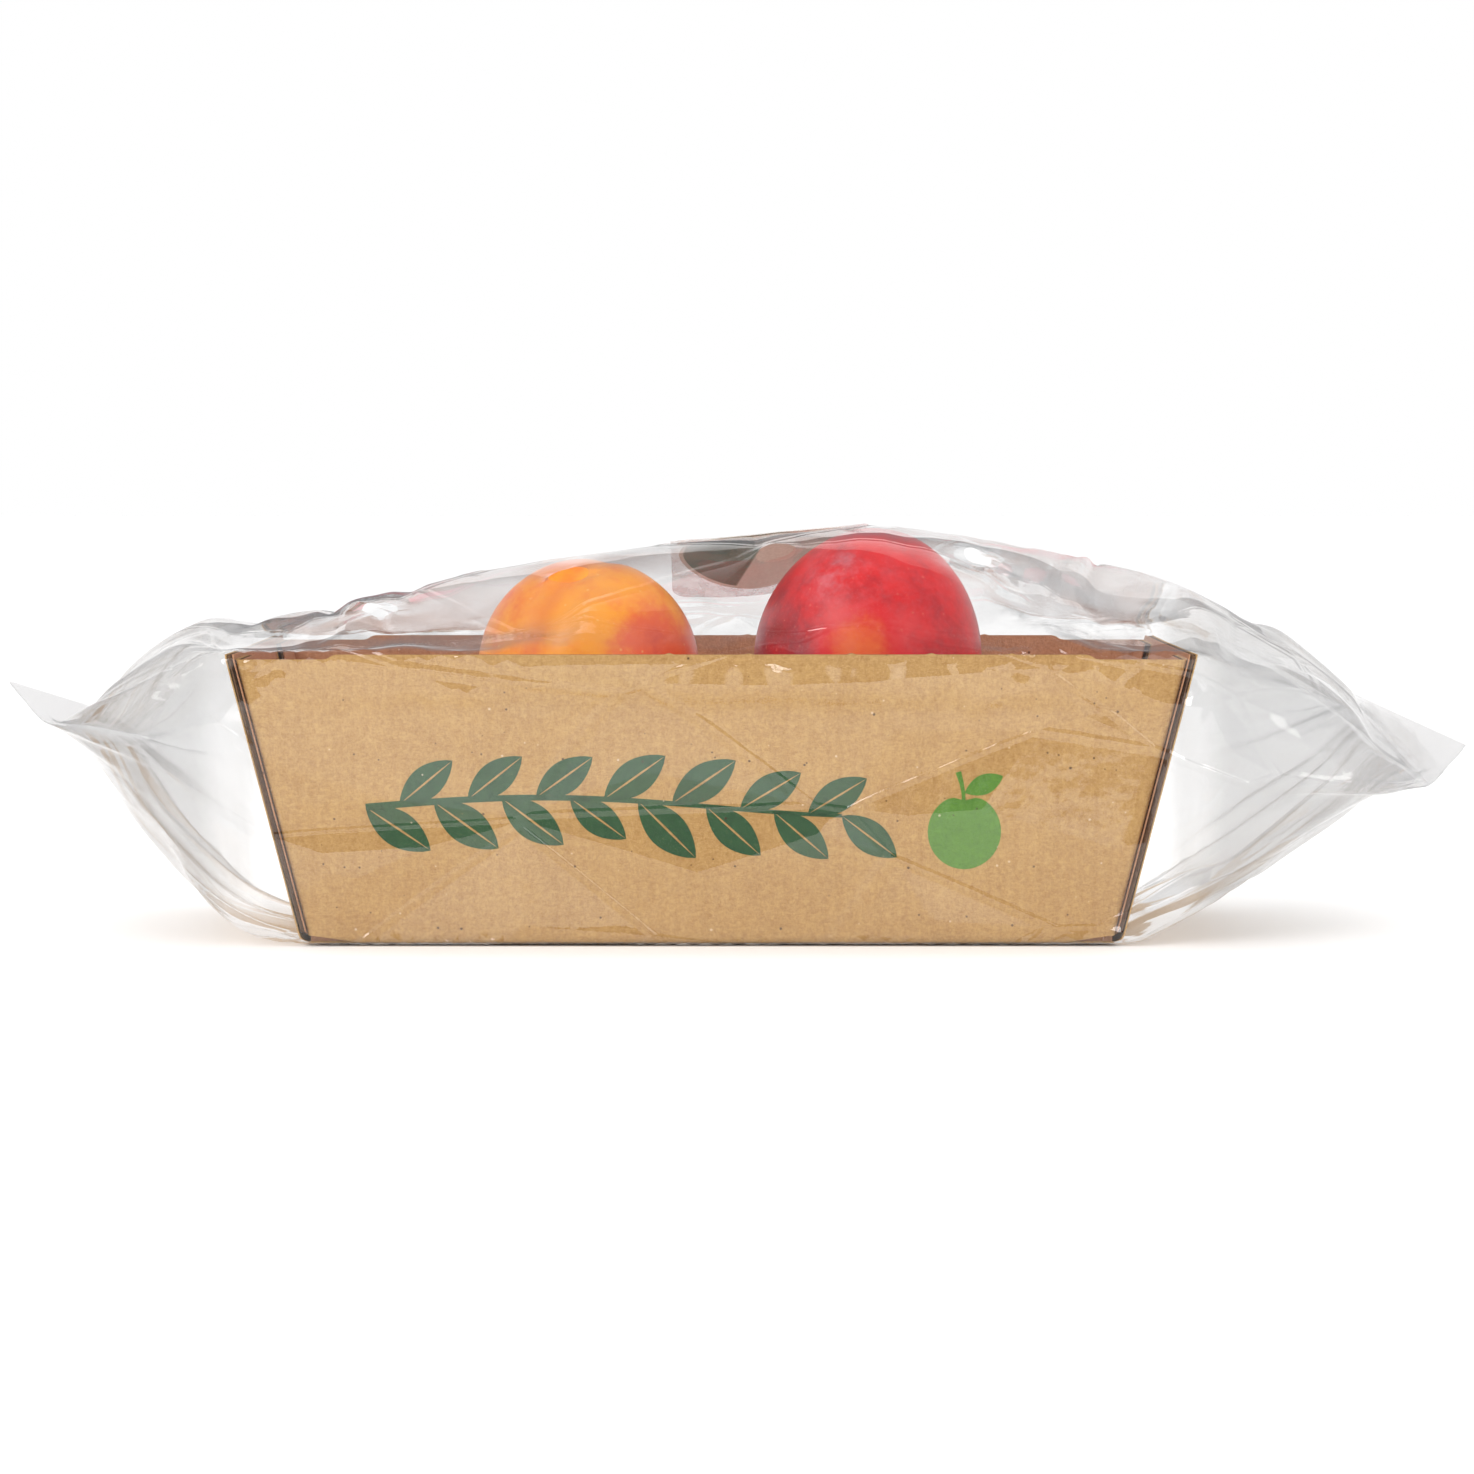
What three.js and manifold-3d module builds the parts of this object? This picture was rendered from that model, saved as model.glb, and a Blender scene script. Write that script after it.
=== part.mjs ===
// A punnet of plums: a tapered tray of corrugated board with eight plums in two layers,
// wrapped in a clear film bag that is sealed flat at both ends.
// Millimetres, +Z up. The origin is the centre of the tray's underside, and +X runs along the tray.
import * as THREE from "three";
import { mergeVertices } from "three/addons/utils/BufferGeometryUtils.js";
import Module from "manifold-3d";

const wasm = await Module();
wasm.setup();

// ---- Driving dimensions ----

// Tray: outside sizes at the floor and at the rim.
const floorLength = 171;
const floorDepth = 94;
const rimLength = 200;
const rimDepth = 120;
const trayHeight = 61;
const boardThickness = 1.8;

// The long walls stand between the end walls, whose raw edges show beside them. Their rims step
// down at both ends, and flaps fold from them onto the inside of the end walls.
const rimStepLength = 18;
const rimStepHeight = 1;
const footReliefLength = 10;
const footReliefHeight = 1.6;
const flapLength = 25;
const flapDrop = 1;

// Gap kept between pieces that touch.
const gap = 0.3;

// Film bag: the fold line and the outer edge of each end seal, as height and place at mid depth,
// with how much they change for each millimetre towards the back.
const sealHalfWidth = 84;
const sealThickness = 1.4;
const wingBow = 2;
const leftSeal = {
  foldX: -133, foldXPerY: 0.01, foldZ: 42, foldZPerY: -0.068,
  edgeX: -141, edgeXPerY: 0, edgeZ: 49.5, edgeZPerY: -0.08,
};
const rightSeal = {
  foldX: 146, foldXPerY: 0.02, foldZ: 40, foldZPerY: 0.056,
  edgeX: 149.5, edgeXPerY: -0.026, edgeZ: 45.5, edgeZPerY: 0.02,
};

// Ridge of the film over the fruit: height above the tray's underside, along the tray.
const ridgePoints = [
  [-104, 66.5],
  [-85, 71.5],
  [-46, 78.5],
  [-27, 81.2],
  [8, 83.6],
  [34, 88],
  [58, 84.5],
  [92, 75.6],
  [104, 72],
];
// Across the pack the film falls from the ridge to the rims as 1 - v^ridgeSharpness.
const ridgeSharpness = 2.3;

// Stickers on the film's top.
const roundSticker = { x: 12, y: 20.5, radius: 19.5, thickness: 0.4 };
const stripSticker = { x: 12.3, y: 20.5, length: 43, width: 45, corner: 4, thickness: 0.4 };

// Plums: centre, length from stem to tip, width, thickness across the seam, and the
// turns in degrees about X, Y and Z that lay each one in the tray.
const plums = {
  plum_front_left: { at: [-58.1, -24.4, 25.6], length: 50, width: 48.4, thickness: 47.6, turn: [70, 20, 30] },
  plum_front_middle: { at: [1.5, -25, 25.5], length: 49, width: 47.6, thickness: 47, turn: [95, -15, -20] },
  plum_front_right: { at: [60.8, -24.3, 25.6], length: 50, width: 48, thickness: 47.4, turn: [60, 35, 80] },
  plum_back_left: { at: [-56, 25.1, 25.9], length: 49.5, width: 48, thickness: 47.2, turn: [100, 10, 140] },
  plum_back_middle: { at: [2.8, 25.2, 25.6], length: 50, width: 48, thickness: 47.6, turn: [80, -30, 200] },
  plum_back_right: { at: [59.6, 25.3, 25.5], length: 49, width: 47.8, thickness: 47.4, turn: [110, 25, 260] },
  plum_top_left: { at: [-27.2, -0.6, 55], length: 49.6, width: 48.6, thickness: 48, turn: [-42, 28, 252] },
  plum_top_right: { at: [33.8, -0.6, 59.6], length: 53.6, width: 50.2, thickness: 49.2, turn: [183, -9, 270] },
};
const seamDepth = 1.1;
const seamWidth = 0.2;
const dimpleDepth = 2.6;
const dimpleRadius = 5.5;

// Mesh fineness.
const plumRings = 14;
const plumSegments = 24;
const sectionPoints = 20;
const wingRings = 8;
const domeStations = 24;
const domePoints = 18;

// ---- Colours ----

const kraft = new THREE.MeshStandardMaterial({ color: 0xb98d5e, roughness: 0.9, metalness: 0 });
const film = new THREE.MeshStandardMaterial({
  color: 0xeef0ee, roughness: 0.1, metalness: 0, transparent: true, opacity: 0.25,
});
const yellowSkin = new THREE.MeshStandardMaterial({ color: 0xf0a24a, roughness: 0.4, metalness: 0 });
const redSkin = new THREE.MeshStandardMaterial({ color: 0xb3202f, roughness: 0.4, metalness: 0 });
const stickerPaper = new THREE.MeshStandardMaterial({ color: 0x47624b, roughness: 0.5, metalness: 0 });
const stickerFilm = new THREE.MeshStandardMaterial({ color: 0xf2f2ee, roughness: 0.3, metalness: 0 });

// ---- Solids ----

// A closed geometry as a solid: only the positions are kept, with shared corners merged.
function solidFrom(geometry) {
  const bare = geometry.clone();
  bare.deleteAttribute("normal");
  bare.deleteAttribute("uv");
  const merged = mergeVertices(bare, 1e-4);
  return new wasm.Manifold(
    new wasm.Mesh({
      numProp: 3,
      vertProperties: new Float32Array(merged.attributes.position.array),
      triVerts: new Uint32Array(merged.index.array),
    }),
  );
}

// A solid back as a geometry.
function geometryFrom(solid) {
  const mesh = solid.getMesh();
  const geometry = new THREE.BufferGeometry();
  geometry.setAttribute("position", new THREE.BufferAttribute(mesh.vertProperties, 3));
  geometry.setIndex(new THREE.BufferAttribute(mesh.triVerts, 1));
  geometry.computeVertexNormals();
  return geometry;
}

// A closed skin through rings of equally many points, with a flat fan at each end.
// The rings run anticlockwise as seen from the last ring's side.
function skinThrough(rings) {
  const count = rings[0].length;
  const corners = rings.flat().flatMap((p) => [p.x, p.y, p.z]);
  const faces = [];
  for (let r = 0; r + 1 < rings.length; r++) {
    for (let i = 0; i < count; i++) {
      const a = r * count + i;
      const b = r * count + ((i + 1) % count);
      faces.push(a, b, b + count);
      faces.push(a, b + count, a + count);
    }
  }
  for (const last of [false, true]) {
    const ring = last ? rings[rings.length - 1] : rings[0];
    const start = last ? (rings.length - 1) * count : 0;
    const middle = new THREE.Vector3();
    for (const p of ring) middle.addScaledVector(p, 1 / count);
    const centre = corners.length / 3;
    corners.push(middle.x, middle.y, middle.z);
    for (let i = 0; i < count; i++) {
      const a = start + i;
      const b = start + ((i + 1) % count);
      if (last) faces.push(centre, a, b);
      else faces.push(centre, b, a);
    }
  }
  const geometry = new THREE.BufferGeometry();
  geometry.setAttribute("position", new THREE.Float32BufferAttribute(corners, 3));
  geometry.setIndex(faces);
  return geometry;
}

// ---- Tray ----

const longTilt = Math.atan2((rimDepth - floorDepth) / 2, trayHeight);
const endTilt = Math.atan2((rimLength - floorLength) / 2, trayHeight);

// Half the tray's outside length at a height.
function halfLengthAt(z) {
  return THREE.MathUtils.lerp(floorLength, rimLength, z / trayHeight) / 2;
}

// A flat panel of board that leans out from the floor. outward is the horizontal direction that
// it faces, foot the distance of its outer face from the centre at the floor, and outline its
// shape: across the wall, and up its slope.
function leaningPanel(outward, foot, tilt, outline) {
  const shape = new THREE.Shape(outline.map(([across, up]) => new THREE.Vector2(across, up)));
  const panel = new THREE.ExtrudeGeometry(shape, { depth: boardThickness, bevelEnabled: false });
  const upSlope = outward.clone().multiplyScalar(Math.sin(tilt)).setZ(Math.cos(tilt));
  const inward = outward.clone().multiplyScalar(-Math.cos(tilt)).setZ(Math.sin(tilt));
  const across = upSlope.clone().cross(inward);
  const place = new THREE.Matrix4().makeBasis(across, upSlope, inward);
  place.setPosition(outward.clone().multiplyScalar(foot));
  return solidFrom(panel.applyMatrix4(place));
}

// A long wall: its rim steps down near both ends, and its foot lifts a little at both corners.
function longWall(outward) {
  const slope = trayHeight / Math.cos(longTilt);
  const foot = floorLength / 2 - boardThickness;
  const rim = rimLength / 2 - boardThickness;
  const stepX = rim - rimStepLength;
  const half = [
    [foot - footReliefLength, 0],
    [foot + 0.4, footReliefHeight],
    [rim, slope - rimStepHeight],
    [stepX, slope - rimStepHeight],
    [stepX - 1, slope],
  ];
  const mirrored = half.map(([across, up]) => [-across, up]).reverse();
  return leaningPanel(outward, floorDepth / 2, longTilt, [...half, ...mirrored]);
}

// An end wall, as deep as the tray, with its top corners cut off a little.
function endWall(outward) {
  const slope = trayHeight / Math.cos(endTilt);
  const foot = floorDepth / 2;
  const rim = rimDepth / 2;
  const half = [
    [foot, 0],
    [rim - 0.2, slope - 1],
    [rim - 1.2, slope],
  ];
  const mirrored = half.map(([across, up]) => [-across, up]).reverse();
  return leaningPanel(outward, floorLength / 2, endTilt, [...half, ...mirrored]);
}

// A glue flap: it folds from a long wall and lies on the inside of an end wall. side is the way
// from the middle of the end wall to that long wall.
function glueFlap(outward, side) {
  const slope = trayHeight / Math.cos(endTilt);
  const foot = floorDepth / 2 - 0.6;
  const rim = rimDepth / 2 - 0.6;
  const top = slope - flapDrop;
  const outline = [
    [side * (foot - flapLength), 0.4],
    [side * foot, 0.4],
    [side * rim, top],
    [side * (rim - flapLength), top],
  ];
  if (side < 0) outline.reverse();
  const layer = boardThickness / Math.cos(endTilt) - 0.05;
  return leaningPanel(outward, floorLength / 2 - layer, endTilt, outline);
}

function trayGeometry() {
  const front = new THREE.Vector3(0, -1, 0);
  const back = new THREE.Vector3(0, 1, 0);
  const left = new THREE.Vector3(-1, 0, 0);
  const right = new THREE.Vector3(1, 0, 0);
  const floorPlate = new THREE.BoxGeometry(floorLength - 0.8, floorDepth - 0.8, boardThickness);
  floorPlate.translate(0, 0, boardThickness / 2);
  let tray = solidFrom(floorPlate);
  for (const wall of [longWall(front), longWall(back), endWall(left), endWall(right)]) {
    tray = tray.add(wall);
  }
  for (const end of [left, right]) {
    for (const side of [-1, 1]) tray = tray.add(glueFlap(end, side));
  }
  return geometryFrom(tray);
}

// ---- Plums ----

// A plum about its own centre, its stem end towards +Z: egg-shaped, fuller towards the stem, with
// a seam from stem to tip and a dimple for the stem. grow adds to its surface all round.
function plumGeometry({ length, width, thickness }, grow = 0) {
  const plum = new THREE.SphereGeometry(1, plumSegments, plumRings);
  plum.rotateX(Math.PI / 2);
  const points = plum.attributes.position;
  for (let i = 0; i < points.count; i++) {
    const p = new THREE.Vector3().fromBufferAttribute(points, i);
    const waist = Math.hypot(p.x, p.y);
    const bearing = Math.atan2(p.y, p.x);
    const fullness = 1 + 0.05 * p.z - 0.03 * p.z * p.z;
    const seam = seamDepth * waist * Math.exp(-((bearing / seamWidth) ** 2));
    const across = waist * (width / 2);
    const dimple = p.z > 0 ? dimpleDepth * Math.exp(-((across / dimpleRadius) ** 2)) : 0;
    const direction = p.clone();
    p.set(p.x * (width / 2) * fullness, p.y * (thickness / 2) * fullness, p.z * (length / 2));
    p.addScaledVector(direction, grow - seam);
    p.z -= dimple;
    points.setXYZ(i, p.x, p.y, p.z);
  }
  return plum;
}

function placePlum(object, { at, turn }) {
  object.position.set(...at);
  object.rotation.set(...turn.map(THREE.MathUtils.degToRad));
  object.updateMatrix();
}

// ---- Film bag ----

// Height of the film's ridge at a place along the tray.
const ridgeCurve = new THREE.SplineCurve(ridgePoints.map(([x, z]) => new THREE.Vector2(x, z)));
function ridgeHeight(x) {
  let low = 0;
  let high = 1;
  for (let i = 0; i < 24; i++) {
    const middle = (low + high) / 2;
    if (ridgeCurve.getPoint(middle).x < x) low = middle;
    else high = middle;
  }
  return ridgeCurve.getPoint(low).y;
}

// Height of the film over the open tray.
function filmHeight(x, y) {
  const v = Math.min(1, Math.abs(y) / (rimDepth / 2));
  return trayHeight + (ridgeHeight(x) - trayHeight) * (1 - v ** ridgeSharpness);
}

// The pack's outline at one end of the tray: over the film's ridge from front to back, then down
// the back corner, along the floor and up the front corner.
function endOutline(end) {
  const rim = rimDepth / 2;
  const foot = floorDepth / 2;
  const side = Math.hypot(trayHeight, rim - foot);
  const under = 2 * side + floorDepth;
  const ring = [];
  for (let i = 0; i < sectionPoints; i++) {
    const y = -rim + (rimDepth * i) / sectionPoints;
    ring.push(new THREE.Vector3(end * (rimLength / 2), y, filmHeight(end * (rimLength / 2), y)));
  }
  for (let i = 0; i < sectionPoints; i++) {
    const way = (under * i) / sectionPoints;
    const z = Math.max(0, trayHeight * (1 - way / side), trayHeight * (1 - (under - way) / side));
    const beside = Math.min(way, under - way, side) / side;
    const reach = THREE.MathUtils.lerp(rim, foot, beside);
    const y = THREE.MathUtils.clamp(under / 2 - way, -reach, reach);
    ring.push(new THREE.Vector3(end * halfLengthAt(z), y, z));
  }
  return ring;
}

// A line of an end seal as a flattened ring with as many points as the pack's outline.
function sealRing(placeX, xPerY, placeZ, zPerY) {
  const ring = [];
  for (let i = 0; i < 2 * sectionPoints; i++) {
    const above = i < sectionPoints;
    const step = (2 * (i % sectionPoints)) / sectionPoints - 1;
    const y = sealHalfWidth * (above ? step : -step);
    const z = placeZ + zPerY * y + (above ? sealThickness / 2 : -sealThickness / 2);
    const endPoint = i % sectionPoints === 0;
    ring.push(new THREE.Vector3(placeX + xPerY * y, y, endPoint ? placeZ + zPerY * y : z));
  }
  return ring;
}

// Moves a point of a wing away from the wing's middle, most of all half way along it.
function bowed(point, middleZ, way) {
  const outwards = new THREE.Vector3(0, point.y, point.z - middleZ).normalize();
  return point.addScaledVector(outwards, wingBow * Math.sin(Math.PI * way));
}

// The bag beyond one end of the tray: the film runs from the pack's outline to the seal, and is
// bowed a little by the air inside.
function wing(end, seal) {
  const outline = endOutline(end);
  const fold = sealRing(seal.foldX, seal.foldXPerY, seal.foldZ, seal.foldZPerY);
  const edge = sealRing(seal.edgeX, seal.edgeXPerY, seal.edgeZ, seal.edgeZPerY);
  const insideTray = outline.map((p) => p.clone().setX(p.x - end * 8));
  const rings = [insideTray, outline];
  for (let r = 1; r <= wingRings; r++) {
    const way = r / wingRings;
    rings.push(outline.map((p, i) => bowed(p.clone().lerp(fold[i], way), seal.foldZ, way)));
  }
  rings.push(edge);
  if (end > 0) for (const ring of rings) ring.reverse();
  return solidFrom(skinThrough(rings));
}

// The film's dome over the open tray, down to the rims.
function dome() {
  const rings = [];
  for (let s = 0; s <= domeStations; s++) {
    const x = THREE.MathUtils.lerp(-rimLength / 2 - 1, rimLength / 2 + 1, s / domeStations);
    const ring = [];
    for (let i = 0; i <= domePoints; i++) {
      const y = rimDepth * (i / domePoints - 0.5);
      ring.push(new THREE.Vector3(x, y, filmHeight(x, y)));
    }
    ring.push(new THREE.Vector3(x, rimDepth / 2, trayHeight - 3));
    ring.push(new THREE.Vector3(x, -rimDepth / 2, trayHeight - 3));
    ring.reverse();
    rings.push(ring);
  }
  return solidFrom(skinThrough(rings));
}

// All that lies between the planes of the end walls, up to the rims.
function trayBlock() {
  const reach = 2 * sealHalfWidth;
  const depth = 30;
  const top = trayHeight + boardThickness * Math.sin(endTilt) + gap;
  const slack = gap / Math.cos(endTilt);
  const shape = new THREE.Shape([
    new THREE.Vector2(-halfLengthAt(-depth) - slack, -depth),
    new THREE.Vector2(halfLengthAt(-depth) + slack, -depth),
    new THREE.Vector2(halfLengthAt(top) + slack, top),
    new THREE.Vector2(-halfLengthAt(top) - slack, top),
  ]);
  const block = new THREE.ExtrudeGeometry(shape, { depth: 2 * reach, bevelEnabled: false });
  return solidFrom(block.rotateX(Math.PI / 2).translate(0, reach, 0));
}

function bagGeometry() {
  let bag = wing(-1, leftSeal).add(wing(1, rightSeal)).add(dome()).subtract(trayBlock());
  for (const plum of Object.values(plums)) {
    const room = new THREE.Object3D();
    placePlum(room, plum);
    bag = bag.subtract(solidFrom(plumGeometry(plum, 1.3 * gap).applyMatrix4(room.matrix)));
  }
  return geometryFrom(bag);
}

// ---- Stickers ----

// A thin sheet that follows the film's top. border goes anticlockwise round the sheet's centre.
function stickerGeometry({ x, y, thickness }, border, lift) {
  const steps = 4;
  const sheet = (scale, up) =>
    border.map((p) => {
      const at = new THREE.Vector3(x + scale * p.x, y + scale * p.y, 0);
      return at.setZ(filmHeight(at.x, at.y) + up);
    });
  const rings = [];
  for (let i = 1; i <= steps; i++) rings.push(sheet(i / steps, lift));
  for (let i = steps; i >= 1; i--) rings.push(sheet(i / steps, lift + thickness));
  return skinThrough(rings);
}

function roundBorder({ radius }) {
  return new THREE.Path().absarc(0, 0, radius, 0, 2 * Math.PI).getSpacedPoints(28).slice(0, 28);
}

// A rectangle with round corners, anticlockwise.
function stripBorder({ length, width, corner }) {
  const [x, y] = [length / 2 - corner, width / 2 - corner];
  const border = new THREE.Path();
  const quarter = Math.PI / 2;
  border.absarc(x, -y, corner, -quarter, 0);
  border.absarc(x, y, corner, 0, quarter);
  border.absarc(-x, y, corner, quarter, 2 * quarter);
  border.absarc(-x, -y, corner, 2 * quarter, 3 * quarter);
  border.closePath();
  return border.getSpacedPoints(32).slice(0, 32);
}

// ---- The object ----

const object = new THREE.Group();

function addMesh(name, geometry, material) {
  const mesh = new THREE.Mesh(geometry, material);
  mesh.name = name;
  object.add(mesh);
  return mesh;
}

addMesh("tray", trayGeometry(), kraft);
for (const [name, plum] of Object.entries(plums)) {
  const skin = name === "plum_top_left" ? yellowSkin : redSkin;
  placePlum(addMesh(name, plumGeometry(plum), skin), plum);
}
addMesh("bag", bagGeometry(), film);
addMesh(
  "sticker_round",
  stickerGeometry(roundSticker, roundBorder(roundSticker), 3 * gap),
  stickerPaper,
);
addMesh(
  "sticker_strip",
  stickerGeometry(stripSticker, stripBorder(stripSticker), 5 * gap + roundSticker.thickness),
  stickerFilm,
);

export default object;
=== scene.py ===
# %% [markdown]
# # A punnet of plums
# Eight plums lie in two layers in a tapered tray of brown corrugated board. A bag of clear film
# with rows of vent holes goes round the tray and is welded flat at both ends.
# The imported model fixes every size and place. This script dresses it: board with real flutes,
# fruit skin, printed ink, and a film that is laid round the tray by a cloth simulation.

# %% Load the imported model
import math

import bmesh
import bpy
import numpy as np
from mathutils import Matrix, Vector, geometry, noise


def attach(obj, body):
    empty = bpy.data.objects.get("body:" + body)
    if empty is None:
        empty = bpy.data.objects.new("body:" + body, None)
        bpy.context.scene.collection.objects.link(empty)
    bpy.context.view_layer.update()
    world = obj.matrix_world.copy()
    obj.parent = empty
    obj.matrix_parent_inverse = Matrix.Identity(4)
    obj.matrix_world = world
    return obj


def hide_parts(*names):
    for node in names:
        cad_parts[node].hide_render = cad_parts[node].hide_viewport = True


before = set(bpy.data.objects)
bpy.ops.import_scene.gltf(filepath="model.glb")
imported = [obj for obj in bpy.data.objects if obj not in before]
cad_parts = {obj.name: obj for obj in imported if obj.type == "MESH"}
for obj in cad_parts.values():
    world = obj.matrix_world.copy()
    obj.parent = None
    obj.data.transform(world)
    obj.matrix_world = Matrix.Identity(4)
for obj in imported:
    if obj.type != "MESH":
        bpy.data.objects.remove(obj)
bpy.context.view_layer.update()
print("nodes:", ", ".join(sorted(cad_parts)))

# %% [markdown]
# ## The camera
# The photograph was taken from a little above the table, about a metre in front of the pack, with
# a long lens. The camera comes first, so that each piece can be judged in the same view.

# %% Set the camera
camera_data = bpy.data.cameras.new("Camera")
camera_data.lens = 129.2
camera_data.sensor_width = 36
camera_data.clip_end = 50
camera = bpy.data.objects.new("Camera", camera_data)
bpy.context.scene.collection.objects.link(camera)
camera.location = (0.0053, -1.145, 0.1016)
looking_at = Vector((0.0053, -0.06, 0.0441))
camera.rotation_euler = (looking_at - camera.location).to_track_quat("-Z", "Y").to_euler()
bpy.context.scene.camera = camera
print("lens", camera_data.lens, "mm")

# %% [markdown]
# ## Helpers for meshes
# Every piece is worked out in millimetres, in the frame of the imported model, and is turned into
# metres as it becomes a mesh. Its object stays at the origin, so patterns that read object
# coordinates do not slide. A slab is the shape that board is made of: two grids of points, one
# for each face, joined along their borders.

# %% Make meshes from points in millimetres
MM = 0.001


def add_object(name, points, faces, sharp_degrees=35):
    """A mesh object from points in millimetres, smooth except where faces meet sharply."""
    mesh = bpy.data.meshes.new(name)
    mesh.from_pydata((np.asarray(points) * MM).tolist(), [], faces)
    mesh.update()
    mesh.shade_smooth()
    mesh.set_sharp_from_angle(angle=math.radians(sharp_degrees))
    obj = bpy.data.objects.new(name, mesh)
    bpy.context.scene.collection.objects.link(obj)
    return obj


def turn_outward(obj):
    """Turns all faces of a closed mesh outward."""
    work = bmesh.new()
    work.from_mesh(obj.data)
    bmesh.ops.recalc_face_normals(work, faces=work.faces)
    work.to_mesh(obj.data)
    work.free()


def grid_faces(rows, columns, first=0):
    """The quads of a grid of points that are numbered row by row."""
    corner = np.arange(rows * columns).reshape(rows, columns) + first
    quads = [corner[:-1, :-1], corner[:-1, 1:], corner[1:, 1:], corner[1:, :-1]]
    return np.stack([q.ravel() for q in quads], axis=1).tolist()


def slab(name, outer, inner):
    """A closed slab between two grids of points. Each grid is an array of rows, columns, xyz."""
    rows, columns = outer.shape[:2]
    count = rows * columns
    faces = grid_faces(rows, columns)
    faces += [quad[::-1] for quad in grid_faces(rows, columns, count)]
    corner = np.arange(count).reshape(rows, columns)
    border = np.concatenate([corner[0, :], corner[1:, -1], corner[-1, -2::-1], corner[-2:0:-1, 0]])
    for a, b in zip(border, np.roll(border, -1)):
        faces.append([int(b), int(a), int(a + count), int(b + count)])
    points = np.concatenate([outer.reshape(-1, 3), inner.reshape(-1, 3)])
    obj = add_object(name, points, faces)
    turn_outward(obj)
    return obj


def store(obj, name, values):
    """Keeps one number for each point of a mesh, for its material to read."""
    attribute = obj.data.attributes.new(name, "FLOAT", "POINT")
    attribute.data.foreach_set("value", np.asarray(values, dtype=np.float32).ravel())


def soft_step(low, high, value):
    """0 below low, 1 above high, and a smooth rise between them."""
    share = np.clip((np.asarray(value, dtype=float) - low) / (high - low), 0, 1)
    return share * share * (3 - 2 * share)


print("helpers ready")

# %% [markdown]
# ## Helpers for materials
# A material here is one Principled shader, with nodes that paint its colour, roughness and
# bump. What is the same all over a surface is set straight on the shader.

# %% Make materials from nodes
def add_node(tree, kind, inputs=None, **settings):
    """Adds a node, with values or links for its inputs by name or number."""
    node = tree.nodes.new(kind)
    for key, value in settings.items():
        setattr(node, key, value)
    for key, value in (inputs or {}).items():
        if isinstance(value, bpy.types.NodeSocket):
            tree.links.new(value, node.inputs[key])
        else:
            node.inputs[key].default_value = value
    return node


def add_math(tree, operation, *values):
    node = add_node(tree, "ShaderNodeMath", dict(enumerate(values)), operation=operation)
    return node.outputs[0]


def add_mix(tree, share, first, second, blend="MIX"):
    """Mixes two colours. share, first and second are sockets or plain values."""
    node = add_node(
        tree,
        "ShaderNodeMix",
        {0: share, 6: first, 7: second},
        data_type="RGBA",
        blend_type=blend,
    )
    return node.outputs[2]


def add_ramp(tree, value, low, high, to_low=0.0, to_high=1.0):
    """Takes low..high to to_low..to_high, smoothly and clamped."""
    node = add_node(
        tree,
        "ShaderNodeMapRange",
        {0: value, 1: low, 2: high, 3: to_low, 4: to_high},
        interpolation_type="SMOOTHSTEP",
    )
    return node.outputs[0]


def read_attribute(tree, name):
    """A number that a piece keeps at its points."""
    return add_node(tree, "ShaderNodeAttribute", attribute_name=name).outputs["Fac"]


def colour(red, green, blue):
    """An sRGB colour of 0 to 255 as the linear colour that a node takes."""
    parts = [c / 255 for c in (red, green, blue)]
    linear = [c / 12.92 if c <= 0.04045 else ((c + 0.055) / 1.055) ** 2.4 for c in parts]
    return (*linear, 1.0)


def new_material(name, **constants):
    """A material with its Principled shader, and the constants set on the shader's sockets."""
    material = bpy.data.materials.new(name)
    material.use_nodes = True
    tree = material.node_tree
    shader = tree.nodes["Principled BSDF"]
    for key, value in constants.items():
        shader.inputs[key.replace("_", " ")].default_value = value
    return material, tree, shader


def new_group(name, takes, gives):
    """A shader node group. takes and gives list (name, socket type, default)."""
    tree = bpy.data.node_groups.new(name, "ShaderNodeTree")
    for side, sockets in (("INPUT", takes), ("OUTPUT", gives)):
        for socket_name, kind, *default in sockets:
            socket = tree.interface.new_socket(
                name=socket_name, in_out=side, socket_type="NodeSocket" + kind
            )
            if default:
                socket.default_value = default[0]
    return tree, add_node(tree, "NodeGroupInput"), add_node(tree, "NodeGroupOutput")


def use_group(tree, group, inputs):
    node = tree.nodes.new("ShaderNodeGroup")
    node.node_tree = group
    for key, value in inputs.items():
        if isinstance(value, bpy.types.NodeSocket):
            tree.links.new(value, node.inputs[key])
        else:
            node.inputs[key].default_value = value
    return node


def add_bump(tree, shader, height, distance, strength=1.0):
    """Feeds a height in through a Bump node. distance is in metres."""
    bump = add_node(tree, "ShaderNodeBump", {"Height": height})
    bump.inputs["Distance"].default_value = distance
    bump.inputs["Strength"].default_value = strength
    tree.links.new(bump.outputs[0], shader.inputs["Normal"])


def finish_piece(obj, material, nodes):
    """Gives a piece its material and says what it rides on, replaces and is made of."""
    obj.data.materials.clear()
    obj.data.materials.append(material)
    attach(obj, "root")
    if nodes:
        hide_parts(*nodes)
    triangles = sum(len(p.vertices) - 2 for p in obj.data.polygons)
    print(f"{obj.name}: {triangles} triangles")


# %% [markdown]
# ## Kraft paper
# The board is three sheets of brown kraft paper: two flat liners with a fluted sheet between
# them. Recycled kraft is faintly blotchy at the size of a thumbnail, has fibres of about a
# millimetre, and holds a few dark and pale flecks. The glued flutes show on the outside as faint
# stripes.
# One node group paints all of this, and each sheet uses it with its own colours.

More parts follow.
